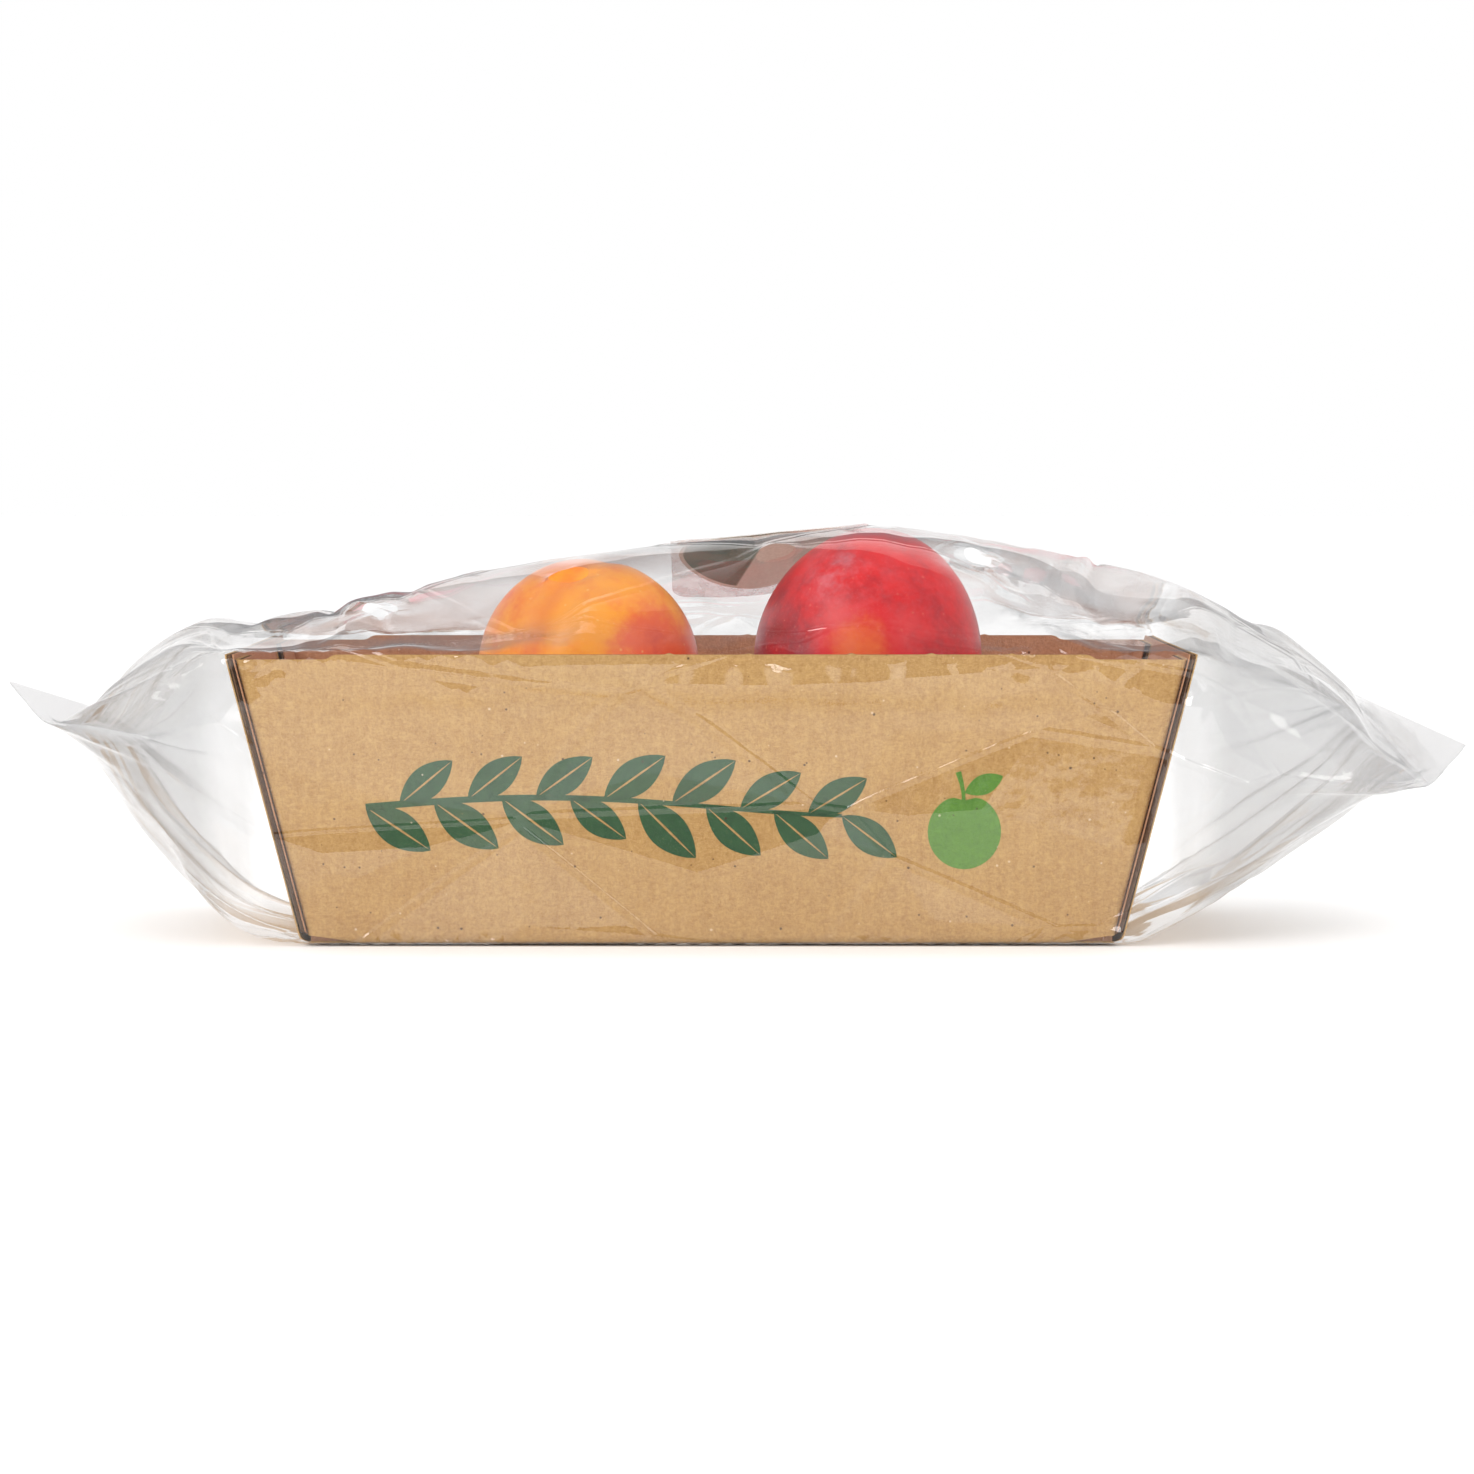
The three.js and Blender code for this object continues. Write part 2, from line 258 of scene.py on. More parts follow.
# %% Build the kraft paper group
kraft, kraft_in, kraft_out = new_group(
    "Kraft Paper",
    [
        ("Light", "Color", (0.5, 0.3, 0.15, 1)),
        ("Dark", "Color", (0.3, 0.16, 0.08, 1)),
        ("Along", "Float", 0.0),
        ("Flute Pitch", "Float", 0.0028),
        ("Flute Strength", "Float", 1.0),
    ],
    [("Color", "Color"), ("Roughness", "Float"), ("Height", "Float"), ("Fibre", "Float")],
)
place = add_node(kraft, "ShaderNodeTexCoord").outputs["Object"]
blotches = add_node(
    kraft, "ShaderNodeTexNoise", {"Vector": place, "Scale": 90.0, "Detail": 7.0, "Roughness": 0.72}
).outputs["Fac"]
lying = add_node(kraft, "ShaderNodeMapping", {"Vector": place, "Scale": (620, 620, 1900)})
standing = add_node(kraft, "ShaderNodeMapping", {"Vector": place, "Scale": (2000, 2000, 760)})
fibres_across = add_node(
    kraft,
    "ShaderNodeTexNoise",
    {"Vector": lying.outputs[0], "Scale": 1.0, "Detail": 3.0, "Distortion": 1.6},
).outputs["Fac"]
fibres_up = add_node(
    kraft,
    "ShaderNodeTexNoise",
    {"Vector": standing.outputs[0], "Scale": 1.0, "Detail": 3.0, "Distortion": 1.2},
).outputs["Fac"]
fibres = add_math(
    kraft, "MULTIPLY_ADD", fibres_up, 0.5, add_math(kraft, "MULTIPLY", fibres_across, 0.5)
)
specks = add_node(
    kraft, "ShaderNodeTexVoronoi", {"Vector": place, "Scale": 420.0, "Randomness": 1.0}
)
speck_kind = add_node(kraft, "ShaderNodeSeparateColor", {0: specks.outputs["Color"]})
speck_size = add_math(kraft, "MULTIPLY", speck_kind.outputs[1], 0.13)
speck_here = add_math(kraft, "LESS_THAN", specks.outputs["Distance"], speck_size)
dark_speck = add_math(
    kraft, "MULTIPLY", speck_here, add_math(kraft, "LESS_THAN", speck_kind.outputs[0], 0.34)
)
pale_speck = add_math(
    kraft, "MULTIPLY", speck_here, add_math(kraft, "GREATER_THAN", speck_kind.outputs[0], 0.8)
)
turns = add_math(kraft, "DIVIDE", kraft_in.outputs["Along"], kraft_in.outputs["Flute Pitch"])
flutes = add_math(kraft, "COSINE", add_math(kraft, "MULTIPLY", turns, 2 * math.pi))
flutes = add_math(kraft, "MULTIPLY", flutes, kraft_in.outputs["Flute Strength"])
tone = add_math(kraft, "MULTIPLY_ADD", flutes, 0.012, add_math(kraft, "MULTIPLY", blotches, 0.25))
tone = add_math(kraft, "MULTIPLY_ADD", fibres, 0.75, tone)
tone = add_ramp(kraft, tone, 0.3, 0.68)
paper = add_mix(kraft, tone, kraft_in.outputs["Dark"], kraft_in.outputs["Light"])
paper = add_mix(kraft, add_math(kraft, "MULTIPLY", dark_speck, 0.8), paper, colour(70, 44, 30))
paper = add_mix(kraft, add_math(kraft, "MULTIPLY", pale_speck, 0.5), paper, colour(232, 214, 190))
height = add_math(kraft, "MULTIPLY_ADD", fibres, 0.6, add_math(kraft, "MULTIPLY", flutes, 0.22))
kraft.links.new(paper, kraft_out.inputs["Color"])
kraft.links.new(add_ramp(kraft, fibres, 0.3, 0.7, 0.92, 0.78), kraft_out.inputs["Roughness"])
kraft.links.new(height, kraft_out.inputs["Height"])
kraft.links.new(fibres, kraft_out.inputs["Fibre"])
print("kraft paper nodes:", len(kraft.nodes))


# %% Mix the board's papers
def kraft_material(name, light, dark, flute_strength, bump):
    material, tree, shader = new_material(name, Specular_IOR_Level=0.25)
    group = use_group(
        tree,
        kraft,
        {
            "Light": light,
            "Dark": dark,
            "Along": read_attribute(tree, "along"),
            "Flute Strength": flute_strength,
        },
    )
    tree.links.new(group.outputs["Color"], shader.inputs["Base Color"])
    tree.links.new(group.outputs["Roughness"], shader.inputs["Roughness"])
    add_bump(tree, shader, group.outputs["Height"], bump)
    return material


outer_paper = kraft_material(
    "Outer liner", colour(197, 160, 103), colour(165, 124, 73), 1.0, 0.00007
)
inner_paper = kraft_material(
    "Inner liner", colour(188, 138, 102), colour(154, 110, 80), 0.8, 0.00006
)
fluted_paper = kraft_material(
    "Fluted sheet", colour(118, 86, 58), colour(84, 58, 38), 0.0, 0.00004
)
print("papers:", outer_paper.name, inner_paper.name, fluted_paper.name)

# %% [markdown]
# ## The tray
# The tray is cut from one flat blank and folded. The end walls run the full depth, so their cut
# edges show beside the front. The long walls turn round a rounded fold at each corner and end in
# flaps that are glued to the inside of the end walls.
# A wall could be one bent slab, but real board shows three sheets wherever it is cut. So each
# liner is its own thin slab, and the fluted sheet between them comes from Geometry Nodes.

# %% Tray sizes
FLOOR_LENGTH, FLOOR_DEPTH = 171.0, 94.0
RIM_LENGTH, RIM_DEPTH = 200.0, 120.0
TRAY_HEIGHT = 61.0
BOARD = 1.8
LINER = 0.28
UNDERSIDE = 0.35
FLAP_LENGTH = 25.0
RIM_STEP_LENGTH, RIM_STEP_HEIGHT = 18.0, 1.0
FOOT_RELIEF_LENGTH, FOOT_RELIEF_HEIGHT = 10.0, 1.6
FOLD_RADIUS = 1.9
CORNER_RADIUS = 1.7
FLUTE_PITCH = 2.8
NICK_PLACES = [-9.0, 7.6, 29.6, 46.0, 62.6]
END_LAYER = BOARD / math.cos(math.atan2((RIM_LENGTH - FLOOR_LENGTH) / 2, TRAY_HEIGHT))
LEVELS = np.array([0, 0.3, 0.7, 1.2, 1.8, 3, 6, 10, 16, 22, 28, 34, 40, 46, 51, 55, 58, 60, 61.0])


def half_length(z):
    """Half the tray's outside length at a height."""
    return (FLOOR_LENGTH + (RIM_LENGTH - FLOOR_LENGTH) * z / TRAY_HEIGHT) / 2


def half_depth(z):
    """Half the tray's outside depth at a height."""
    return (FLOOR_DEPTH + (RIM_DEPTH - FLOOR_DEPTH) * z / TRAY_HEIGHT) / 2


def foot_inset(z):
    """How far the rounded fold at the floor draws a wall's face in."""
    below = np.clip(FOLD_RADIUS - (z - UNDERSIDE), 0, FOLD_RADIUS)
    return FOLD_RADIUS - np.sqrt(FOLD_RADIUS**2 - below**2)


def warp(along, z, seed):
    """How far a wall bends inward, in millimetres: board is never quite flat."""
    values = np.empty(np.broadcast(along, z).shape)
    for i, (a, b) in enumerate(np.broadcast(along, z)):
        values.flat[i] = noise.noise((a * 0.021, b * 0.03, seed))
    return 0.28 * (1 + values)


print("half length at the rim", half_length(TRAY_HEIGHT), "mm")


# %% Walls as grids of points
def rim_height(x):
    """The rim of a long wall: a soft step down near both ends, and small nicks from the cutter."""
    inner_end = RIM_LENGTH / 2 - BOARD - RIM_STEP_LENGTH
    top = TRAY_HEIGHT - RIM_STEP_HEIGHT * soft_step(inner_end - 1.5, inner_end + 1, np.abs(x))
    for place in NICK_PLACES:
        top = top + 0.32 * np.exp(-(((x - place) / 0.5) ** 2))
    return top


def long_wall_columns(step):
    """Marks along a long wall with its flaps: which stretch, and the share of that stretch."""
    marks = [("flap_left", s) for s in np.linspace(0, 1, round(FLAP_LENGTH / step) + 1)[:-1]]
    marks += [("fold_left", s) for s in np.linspace(0, 1, 7)[:-1]]
    marks += [("wall", s) for s in np.linspace(0, 1, round(RIM_LENGTH / step) + 1)[:-1]]
    marks += [("fold_right", s) for s in np.linspace(0, 1, 7)[:-1]]
    marks += [("flap_right", s) for s in np.linspace(0, 1, round(FLAP_LENGTH / step) + 1)]
    return marks


def long_wall_point(stretch, share, z, depth):
    """Plan place on the front wall or its flaps, at a height and a depth into the board."""
    reach_x = half_length(z) - END_LAYER - 0.08 - depth
    reach_y = half_depth(z) - depth - foot_inset(z)
    radius = np.maximum(CORNER_RADIUS - depth, 0.12)
    turn = share * math.pi / 2
    if stretch == "flap_left":
        return -reach_x, -reach_y + radius + FLAP_LENGTH * (1 - share)
    if stretch == "fold_left":
        return (
            -(reach_x - radius) - radius * np.cos(turn),
            -(reach_y - radius) - radius * np.sin(turn),
        )
    if stretch == "wall":
        return (2 * share - 1) * (reach_x - radius), -reach_y
    if stretch == "fold_right":
        return (
            (reach_x - radius) + radius * np.sin(turn),
            -(reach_y - radius) - radius * np.cos(turn),
        )
    return reach_x, -reach_y + radius + FLAP_LENGTH * share


def long_wall_grid(depth, step, side, levels=LEVELS, low=UNDERSIDE, short=0.0):
    """A sheet of a long wall and its flaps at a depth into the board. side is -1 for the front."""
    columns = []
    marks = long_wall_columns(step)
    for stretch, share in marks:
        across = (2 * share - 1) * (RIM_LENGTH / 2 - BOARD) if stretch == "wall" else RIM_LENGTH / 2
        top = rim_height(np.array(across)) if stretch == "wall" else TRAY_HEIGHT - 1.0
        foot_reach = FLOOR_LENGTH / 2 - BOARD
        lift = soft_step(foot_reach - FOOT_RELIEF_LENGTH, foot_reach + 4, abs(across) * 0.87)
        bottom = low + FOOT_RELIEF_HEIGHT * lift
        z = bottom + (top - short - bottom) * levels / levels[-1]
        bend = warp(across, z, 3.0 + side) * (stretch == "wall")
        bend = bend * (1 - np.abs(across) / (RIM_LENGTH / 2)) ** 0.5 * soft_step(0, 14, z)
        x, y = long_wall_point(stretch, share, z, depth + bend)
        columns.append(np.stack([x + 0 * z, -side * y, z], axis=1))
    grid = np.stack(columns, axis=1)
    return grid


def along_of(grid):
    """Distance along each row of a grid, in metres, from the row's middle."""
    steps = np.linalg.norm(np.diff(grid, axis=1), axis=2)
    along = np.concatenate([np.zeros((len(grid), 1)), np.cumsum(steps, axis=1)], axis=1)
    return (along - along[:, -1:] / 2) * MM


def end_wall_grid(depth, side, step, levels=LEVELS, low=UNDERSIDE, short=0.0):
    """A sheet of an end wall. side is -1 for the left."""
    inner = np.linspace(-0.975, 0.975, round(RIM_DEPTH / step) + 1)
    shares = np.concatenate([[-1, -0.995, -0.988, -0.981], inner, [0.981, 0.988, 0.995, 1]])
    columns = []
    for share in shares:
        cut = 1.0 * soft_step(0.978, 1.0, abs(share))
        lift = 0.9 * soft_step(0.93, 1.0, abs(share))
        z = low + lift + (TRAY_HEIGHT - cut - short - low - lift) * levels / levels[-1]
        bend = warp(share * 60, z, 9.0 + side) * (1 - share**2) * soft_step(0, 14, z)
        x = half_length(z) - depth - bend - foot_inset(z)
        y = share * (half_depth(z) - 0.02)
        columns.append(np.stack([side * x, y, z], axis=1))
    return np.stack(columns, axis=1)


print("rim height in the middle", float(rim_height(np.array(0.0))))


# %% Make the liners
def board_liners(name, grid_at, low_inside):
    """The two liners of a wall, as closed slabs that keep the distance along the wall."""
    made = []
    for where, near, far, low in (
        ("outer", 0.0, LINER, UNDERSIDE),
        ("inner", BOARD - LINER, BOARD, low_inside),
    ):
        outer = grid_at(near, low)
        inner = grid_at(far, low)
        piece = slab(f"{name}_{where}_liner", outer, inner)
        along = along_of(outer)
        store(piece, "along", np.concatenate([along.ravel(), along.ravel()]))
        made.append(piece)
    return made


tray_pieces = []
for side, name in ((-1, "front"), (1, "back")):
    outer_liner, inner_liner = board_liners(
        f"{name}_wall", lambda depth, low, s=side: long_wall_grid(depth, 1.0, s, low=low), 2.0
    )
    tray_pieces += [(outer_liner, outer_paper), (inner_liner, inner_paper)]
for side, name in ((-1, "left"), (1, "right")):
    outer_liner, inner_liner = board_liners(
        f"{name}_wall", lambda depth, low, s=side: end_wall_grid(depth, s, 2.0, low=low), 2.0
    )
    tray_pieces += [(outer_liner, outer_paper), (inner_liner, inner_paper)]
print("liners:", len(tray_pieces))

# %% [markdown]
# The fluted sheet is a wave that repeats every 2.8 mm along each wall. A flat middle sheet with
# two rows of points goes into a Geometry Nodes tree, which pushes each point in or out of the
# board by the sine of its distance along the wall.

# %% Flutes from Geometry Nodes
flutes_tree = bpy.data.node_groups.new("Flutes", "GeometryNodeTree")
for socket_name, kind, default in (
    ("Geometry", "Geometry", None),
    ("Pitch", "Float", FLUTE_PITCH * MM),
    ("Height", "Float", 0.001),
    ("Paper", "Material", None),
):
    socket = flutes_tree.interface.new_socket(
        name=socket_name, in_out="INPUT", socket_type="NodeSocket" + kind
    )
    if default is not None:
        socket.default_value = default
flutes_tree.interface.new_socket(name="Geometry", in_out="OUTPUT", socket_type="NodeSocketGeometry")
wave_in = add_node(flutes_tree, "NodeGroupInput")
wave_out = add_node(flutes_tree, "NodeGroupOutput")
along_here = add_node(
    flutes_tree, "GeometryNodeInputNamedAttribute", {"Name": "along"}, data_type="FLOAT"
).outputs["Attribute"]
inward_here = add_node(
    flutes_tree, "GeometryNodeInputNamedAttribute", {"Name": "inward"}, data_type="FLOAT_VECTOR"
).outputs["Attribute"]
wave_turn = add_math(flutes_tree, "DIVIDE", along_here, wave_in.outputs["Pitch"])
wave = add_math(flutes_tree, "SINE", add_math(flutes_tree, "MULTIPLY", wave_turn, 2 * math.pi))
half_wave = add_math(flutes_tree, "MULTIPLY", wave_in.outputs["Height"], 0.5)
push = add_node(
    flutes_tree,
    "ShaderNodeVectorMath",
    {0: inward_here, "Scale": add_math(flutes_tree, "MULTIPLY", wave, half_wave)},
    operation="SCALE",
)
moved = add_node(
    flutes_tree,
    "GeometryNodeSetPosition",
    {"Geometry": wave_in.outputs["Geometry"], "Offset": push.outputs[0]},
)
realized = add_node(flutes_tree, "GeometryNodeRealizeInstances", {0: moved.outputs[0]})
painted = add_node(
    flutes_tree,
    "GeometryNodeSetMaterial",
    {"Geometry": realized.outputs[0], "Material": wave_in.outputs["Paper"]},
)
flutes_tree.links.new(painted.outputs[0], wave_out.inputs[0])


def set_input(modifier, name, value):
    """Sets a modifier's input by the identifier of the socket with this name."""
    for item in modifier.node_group.interface.items_tree:
        if item.item_type == "SOCKET" and item.in_out == "INPUT" and item.name == name:
            modifier[item.identifier] = value


def settle(obj):
    """Turns what the modifiers give into a plain mesh, and removes the modifiers."""
    graph = bpy.context.evaluated_depsgraph_get()
    mesh = bpy.data.meshes.new_from_object(obj.evaluated_get(graph))
    obj.modifiers.clear()
    obj.data = mesh
    return obj


def fluted_sheet(name, middle, deeper):
    """The wavy sheet of a wall. middle and deeper are grids at mid board and 0.1 mm inside it."""
    rows, columns = middle.shape[:2]
    obj = add_object(name, middle.reshape(-1, 3), grid_faces(rows, columns), 180)
    store(obj, "along", along_of(middle))
    inward = (deeper - middle) / 0.1
    attribute = obj.data.attributes.new("inward", "FLOAT_VECTOR", "POINT")
    attribute.data.foreach_set("vector", inward.astype(np.float32).ravel())
    waves = obj.modifiers.new("Flutes", "NODES")
    waves.node_group = flutes_tree
    set_input(waves, "Pitch", FLUTE_PITCH * MM)
    set_input(waves, "Height", (BOARD - 2 * LINER - 0.22) * MM)
    set_input(waves, "Paper", fluted_paper)
    paper = obj.modifiers.new("Paper", "SOLIDIFY")
    paper.thickness = 0.16 * MM
    paper.offset = 0
    settle(obj)
    turn_outward(obj)
    return obj


two_rows = np.array([0.0, 0.5, 1.0])
fine = FLUTE_PITCH / 8
for side, name in ((-1, "front"), (1, "back")):
    sheets = [
        long_wall_grid(BOARD / 2 + extra, fine, side, levels=two_rows, low=2.2, short=0.12)
        for extra in (0.0, 0.1)
    ]
    tray_pieces.append((fluted_sheet(f"{name}_wall_flutes", *sheets), fluted_paper))
for side, name in ((-1, "left"), (1, "right")):
    sheets = [
        end_wall_grid(BOARD / 2 + extra, side, fine, levels=two_rows, low=2.2, short=0.12)
        for extra in (0.0, 0.1)
    ]
    tray_pieces.append((fluted_sheet(f"{name}_wall_flutes", *sheets), fluted_paper))
print("tray pieces:", len(tray_pieces))


# %% Make the floor and finish the tray
def floor_sheet(name, top, bottom, inset):
    """A flat sheet of the floor, a little smaller than the fold lines."""
    x = np.linspace(-1, 1, 60) * (FLOOR_LENGTH / 2 - inset)
    y = np.linspace(-1, 1, 36) * (FLOOR_DEPTH / 2 - inset)
    across, depth = np.meshgrid(x, y)
    sheets = [np.stack([across, depth, 0 * across + z], axis=2) for z in (top, bottom)]
    piece = slab(name, *sheets)
    store(piece, "along", np.concatenate([across.ravel(), across.ravel()]) * MM)
    return piece


under_liner = floor_sheet("floor_under_liner", UNDERSIDE + LINER, UNDERSIDE, 1.6)
top_liner = floor_sheet("floor_top_liner", BOARD, UNDERSIDE + LINER + 0.02, 1.9)
tray_pieces += [(under_liner, outer_paper), (top_liner, inner_paper)]
for piece, paper in tray_pieces:
    finish_piece(piece, paper, ["tray"])

# %% [markdown]
# ## The print on the front
# The front is printed in two greens, straight on the kraft. The motifs here are plain ones: a
# sprig of leaves, and a fruit with a leaf. The leaves repeat along a stem, so a Geometry Nodes
# tree bends one grid into a leaf and puts it along the stem, left and right in turn. The flat
# print is then laid on the wall by the same rule that bends the wall.

# %% Leaves along a stem
leaves_tree = bpy.data.node_groups.new("Leaves Along Stem", "GeometryNodeTree")
for socket_name, kind, default in (
    ("Geometry", "Geometry", None),
    ("Count", "Int", 12),
    ("Leaf Length", "Float", 0.014),
    ("Leaf Width", "Float", 0.007),
    ("Lean", "Float", 0.75),
    ("Seed", "Int", 4),
    ("Ink", "Material", None),
):
    socket = leaves_tree.interface.new_socket(
        name=socket_name, in_out="INPUT", socket_type="NodeSocket" + kind
    )
    if default is not None:
        socket.default_value = default
leaves_tree.interface.new_socket(name="Geometry", in_out="OUTPUT", socket_type="NodeSocketGeometry")
leaf_in = add_node(leaves_tree, "NodeGroupInput")
leaf_out = add_node(leaves_tree, "NodeGroupOutput")
blank = add_node(
    leaves_tree,
    "GeometryNodeMeshGrid",
    {"Size X": 1.0, "Size Y": 1.0, "Vertices X": 15, "Vertices Y": 5},
).outputs["Mesh"]
spot = add_node(
    leaves_tree,
    "ShaderNodeSeparateXYZ",
    {0: add_node(leaves_tree, "GeometryNodeInputPosition").outputs[0]},
)
run = add_math(leaves_tree, "ADD", spot.outputs[0], 0.5)
belly = add_math(leaves_tree, "SINE", add_math(leaves_tree, "MULTIPLY", run, math.pi))
belly = add_math(leaves_tree, "POWER", add_math(leaves_tree, "MAXIMUM", belly, 0.0), 0.8)
half_leaf = add_math(leaves_tree, "ADD", spot.outputs[1], 0.5)
half_leaf = add_math(leaves_tree, "MULTIPLY_ADD", half_leaf, 0.94, 0.06)
leaf_x = add_math(leaves_tree, "MULTIPLY", run, leaf_in.outputs["Leaf Length"])
leaf_y = add_math(leaves_tree, "MULTIPLY", half_leaf, belly)
leaf_y = add_math(leaves_tree, "MULTIPLY", leaf_y, leaf_in.outputs["Leaf Width"])
leaf_y = add_math(leaves_tree, "MULTIPLY", leaf_y, 0.5)
upper = add_node(leaves_tree, "ShaderNodeCombineXYZ", {0: leaf_x, 1: leaf_y})
lower = add_node(
    leaves_tree,
    "ShaderNodeCombineXYZ",
    {0: leaf_x, 1: add_math(leaves_tree, "MULTIPLY", leaf_y, -1.0)},
)
halves = [
    add_node(leaves_tree, "GeometryNodeSetPosition", {"Geometry": blank, "Position": at.outputs[0]})
    for at in (upper, lower)
]
flipped = add_node(leaves_tree, "GeometryNodeFlipFaces", {0: halves[1].outputs[0]})
leaf = add_node(leaves_tree, "GeometryNodeJoinGeometry")
leaves_tree.links.new(halves[0].outputs[0], leaf.inputs[0])
leaves_tree.links.new(flipped.outputs[0], leaf.inputs[0])
stem_marks = add_node(
    leaves_tree,
    "GeometryNodeCurveToPoints",
    {"Curve": leaf_in.outputs["Geometry"], "Count": leaf_in.outputs["Count"]},
    mode="COUNT",
)
order = add_node(leaves_tree, "GeometryNodeInputIndex").outputs[0]
is_odd = add_math(leaves_tree, "MODULO", order, 2.0)
way = add_math(leaves_tree, "MULTIPLY_ADD", is_odd, 2.0, -1.0)
unsteady = add_node(
    leaves_tree,
    "FunctionNodeRandomValue",
    {"Min": 0.9, "Max": 1.1, "ID": order, "Seed": leaf_in.outputs["Seed"]},
    data_type="FLOAT",
)
unsteady_socket = [s for s in unsteady.outputs if s.enabled][0]
for socket in unsteady.inputs:
    if socket.name in ("Min", "Max") and socket.enabled:
        socket.default_value = 0.9 if socket.name == "Min" else 1.1
lean = add_math(leaves_tree, "MULTIPLY", way, leaf_in.outputs["Lean"])
lean = add_math(leaves_tree, "MULTIPLY", lean, unsteady_socket)
tangent = add_node(
    leaves_tree,
    "FunctionNodeAlignRotationToVector",
    {"Vector": stem_marks.outputs["Tangent"]},
    axis="X",
)
turned = add_node(
    leaves_tree,
    "FunctionNodeRotateRotation",
    {
        0: tangent.outputs[0],
        1: add_node(
            leaves_tree,
            "FunctionNodeEulerToRotation",
            {0: add_node(leaves_tree, "ShaderNodeCombineXYZ", {2: lean}).outputs[0]},
        ).outputs[0],
    },
    rotation_space="LOCAL",
)
placed = add_node(
    leaves_tree,
    "GeometryNodeInstanceOnPoints",
    {
        "Points": stem_marks.outputs["Points"],
        "Instance": leaf.outputs[0],
        "Rotation": turned.outputs[0],
        "Scale": add_node(
            leaves_tree,
            "ShaderNodeCombineXYZ",
            {0: unsteady_socket, 1: unsteady_socket, 2: unsteady_socket},
        ).outputs[0],
    },
)
plain_leaves = add_node(leaves_tree, "GeometryNodeRealizeInstances", {0: placed.outputs[0]})
inked_leaves = add_node(
    leaves_tree,
    "GeometryNodeSetMaterial",
    {"Geometry": plain_leaves.outputs[0], "Material": leaf_in.outputs["Ink"]},
)
leaves_tree.links.new(inked_leaves.outputs[0], leaf_out.inputs[0])
print("leaf nodes:", len(leaves_tree.nodes))


# %% Mix the inks
def ink_material(name, light, dark):
    """Ink on kraft: the paper's own blotches and fibres come through it."""
    material, tree, shader = new_material(name, Specular_IOR_Level=0.3)
    group = use_group(tree, kraft, {"Light": light, "Dark": dark, "Flute Strength": 0.6})
    tree.links.new(read_attribute(tree, "along"), group.inputs["Along"])
    worn = add_ramp(tree, group.outputs["Fibre"], 0.62, 0.74, 0.0, 0.5)
    shade = add_mix(tree, worn, group.outputs["Color"], colour(168, 136, 96))
    tree.links.new(shade, shader.inputs["Base Color"])
    tree.links.new(
        add_ramp(tree, group.outputs["Fibre"], 0.3, 0.7, 0.72, 0.56), shader.inputs["Roughness"]
    )
    add_bump(tree, shader, group.outputs["Height"], 0.00005)
    return material


dark_ink = ink_material("Dark green ink", colour(52, 92, 54), colour(36, 70, 42))
light_ink = ink_material("Light green ink", colour(98, 146, 52), colour(76, 120, 42))
print("inks:", dark_ink.name, light_ink.name)


# %% Lay the print on the front wall
INK_THICKNESS = 0.05


def on_front_wall(x, z, depth):
    """The place on the front wall's outer face, at a depth into the board."""
    x, z = np.asarray(x, dtype=float), np.asarray(z, dtype=float)
    bend = warp(x, z, 2.0) * (1 - np.abs(x) / (RIM_LENGTH / 2)) ** 0.5 * soft_step(0, 14, z)
    return np.stack([x, -(half_depth(z) - depth - bend), z], axis=-1)


def print_on_wall(name, flat, faces, ink):
    """A thin layer of ink from a flat mesh of x and height points."""
    flat = np.asarray(flat, dtype=float)
    front = on_front_wall(flat[:, 0], flat[:, 1], -INK_THICKNESS)
    back = on_front_wall(flat[:, 0], flat[:, 1], 0.02)
    count = len(flat)
    edges = {}
    for face in faces:
        for a, b in zip(face, face[1:] + face[:1]):
            edges[(a, b)] = edges.get((a, b), 0) + 1
    sides = [[b, a, a + count, b + count] for a, b in edges if (b, a) not in edges]
    layers = [list(f) for f in faces] + [[i + count for i in f[::-1]] for f in faces]
    obj = add_object(name, np.concatenate([front, back]), layers + sides)
    turn_outward(obj)
    store(obj, "along", np.concatenate([flat[:, 0], flat[:, 0]]) * MM)
    finish_piece(obj, ink, ["tray"])
    return obj


def ribbon(points, widths):
    """A flat ribbon along points, with its width at each."""
    points, widths = np.asarray(points, float), np.asarray(widths, float)
    along = np.gradient(points, axis=0)
    along /= np.linalg.norm(along, axis=1)[:, None]
    beside = np.stack([-along[:, 1], along[:, 0]], axis=1) * widths[:, None] / 2
    flat = np.concatenate([points + beside, points - beside])
    count = len(points)
    faces = [[i + count, i + 1 + count, i + 1, i] for i in range(count - 1)]
    return flat, faces


SPRIG_LEFT, SPRIG_RIGHT, SPRIG_MIDDLE = -71.5, 35.0, 29.2
stem_x = np.linspace(SPRIG_LEFT, SPRIG_RIGHT - 8, 60)
stem_z = SPRIG_MIDDLE + 2.0 * np.sin((stem_x - SPRIG_LEFT) / 23.0)
stem_curve = bpy.data.curves.new("stem", "CURVE")
stem_line = stem_curve.splines.new("POLY")
stem_line.points.add(len(stem_x) - 1)
for point, x, z in zip(stem_line.points, stem_x, stem_z):
    point.co = (x * MM, z * MM, 0, 1)
stem_object = bpy.data.objects.new("stem", stem_curve)
bpy.context.scene.collection.objects.link(stem_object)
growth = stem_object.modifiers.new("Leaves", "NODES")
growth.node_group = leaves_tree
for name, value in (
    ("Count", 15),
    ("Leaf Length", 15.5 * MM),
    ("Leaf Width", 7.2 * MM),
    ("Lean", 0.66),
    ("Seed", 4),
    ("Ink", dark_ink),
):
    set_input(growth, name, value)
graph = bpy.context.evaluated_depsgraph_get()
leaves_mesh = bpy.data.meshes.new_from_object(stem_object.evaluated_get(graph))
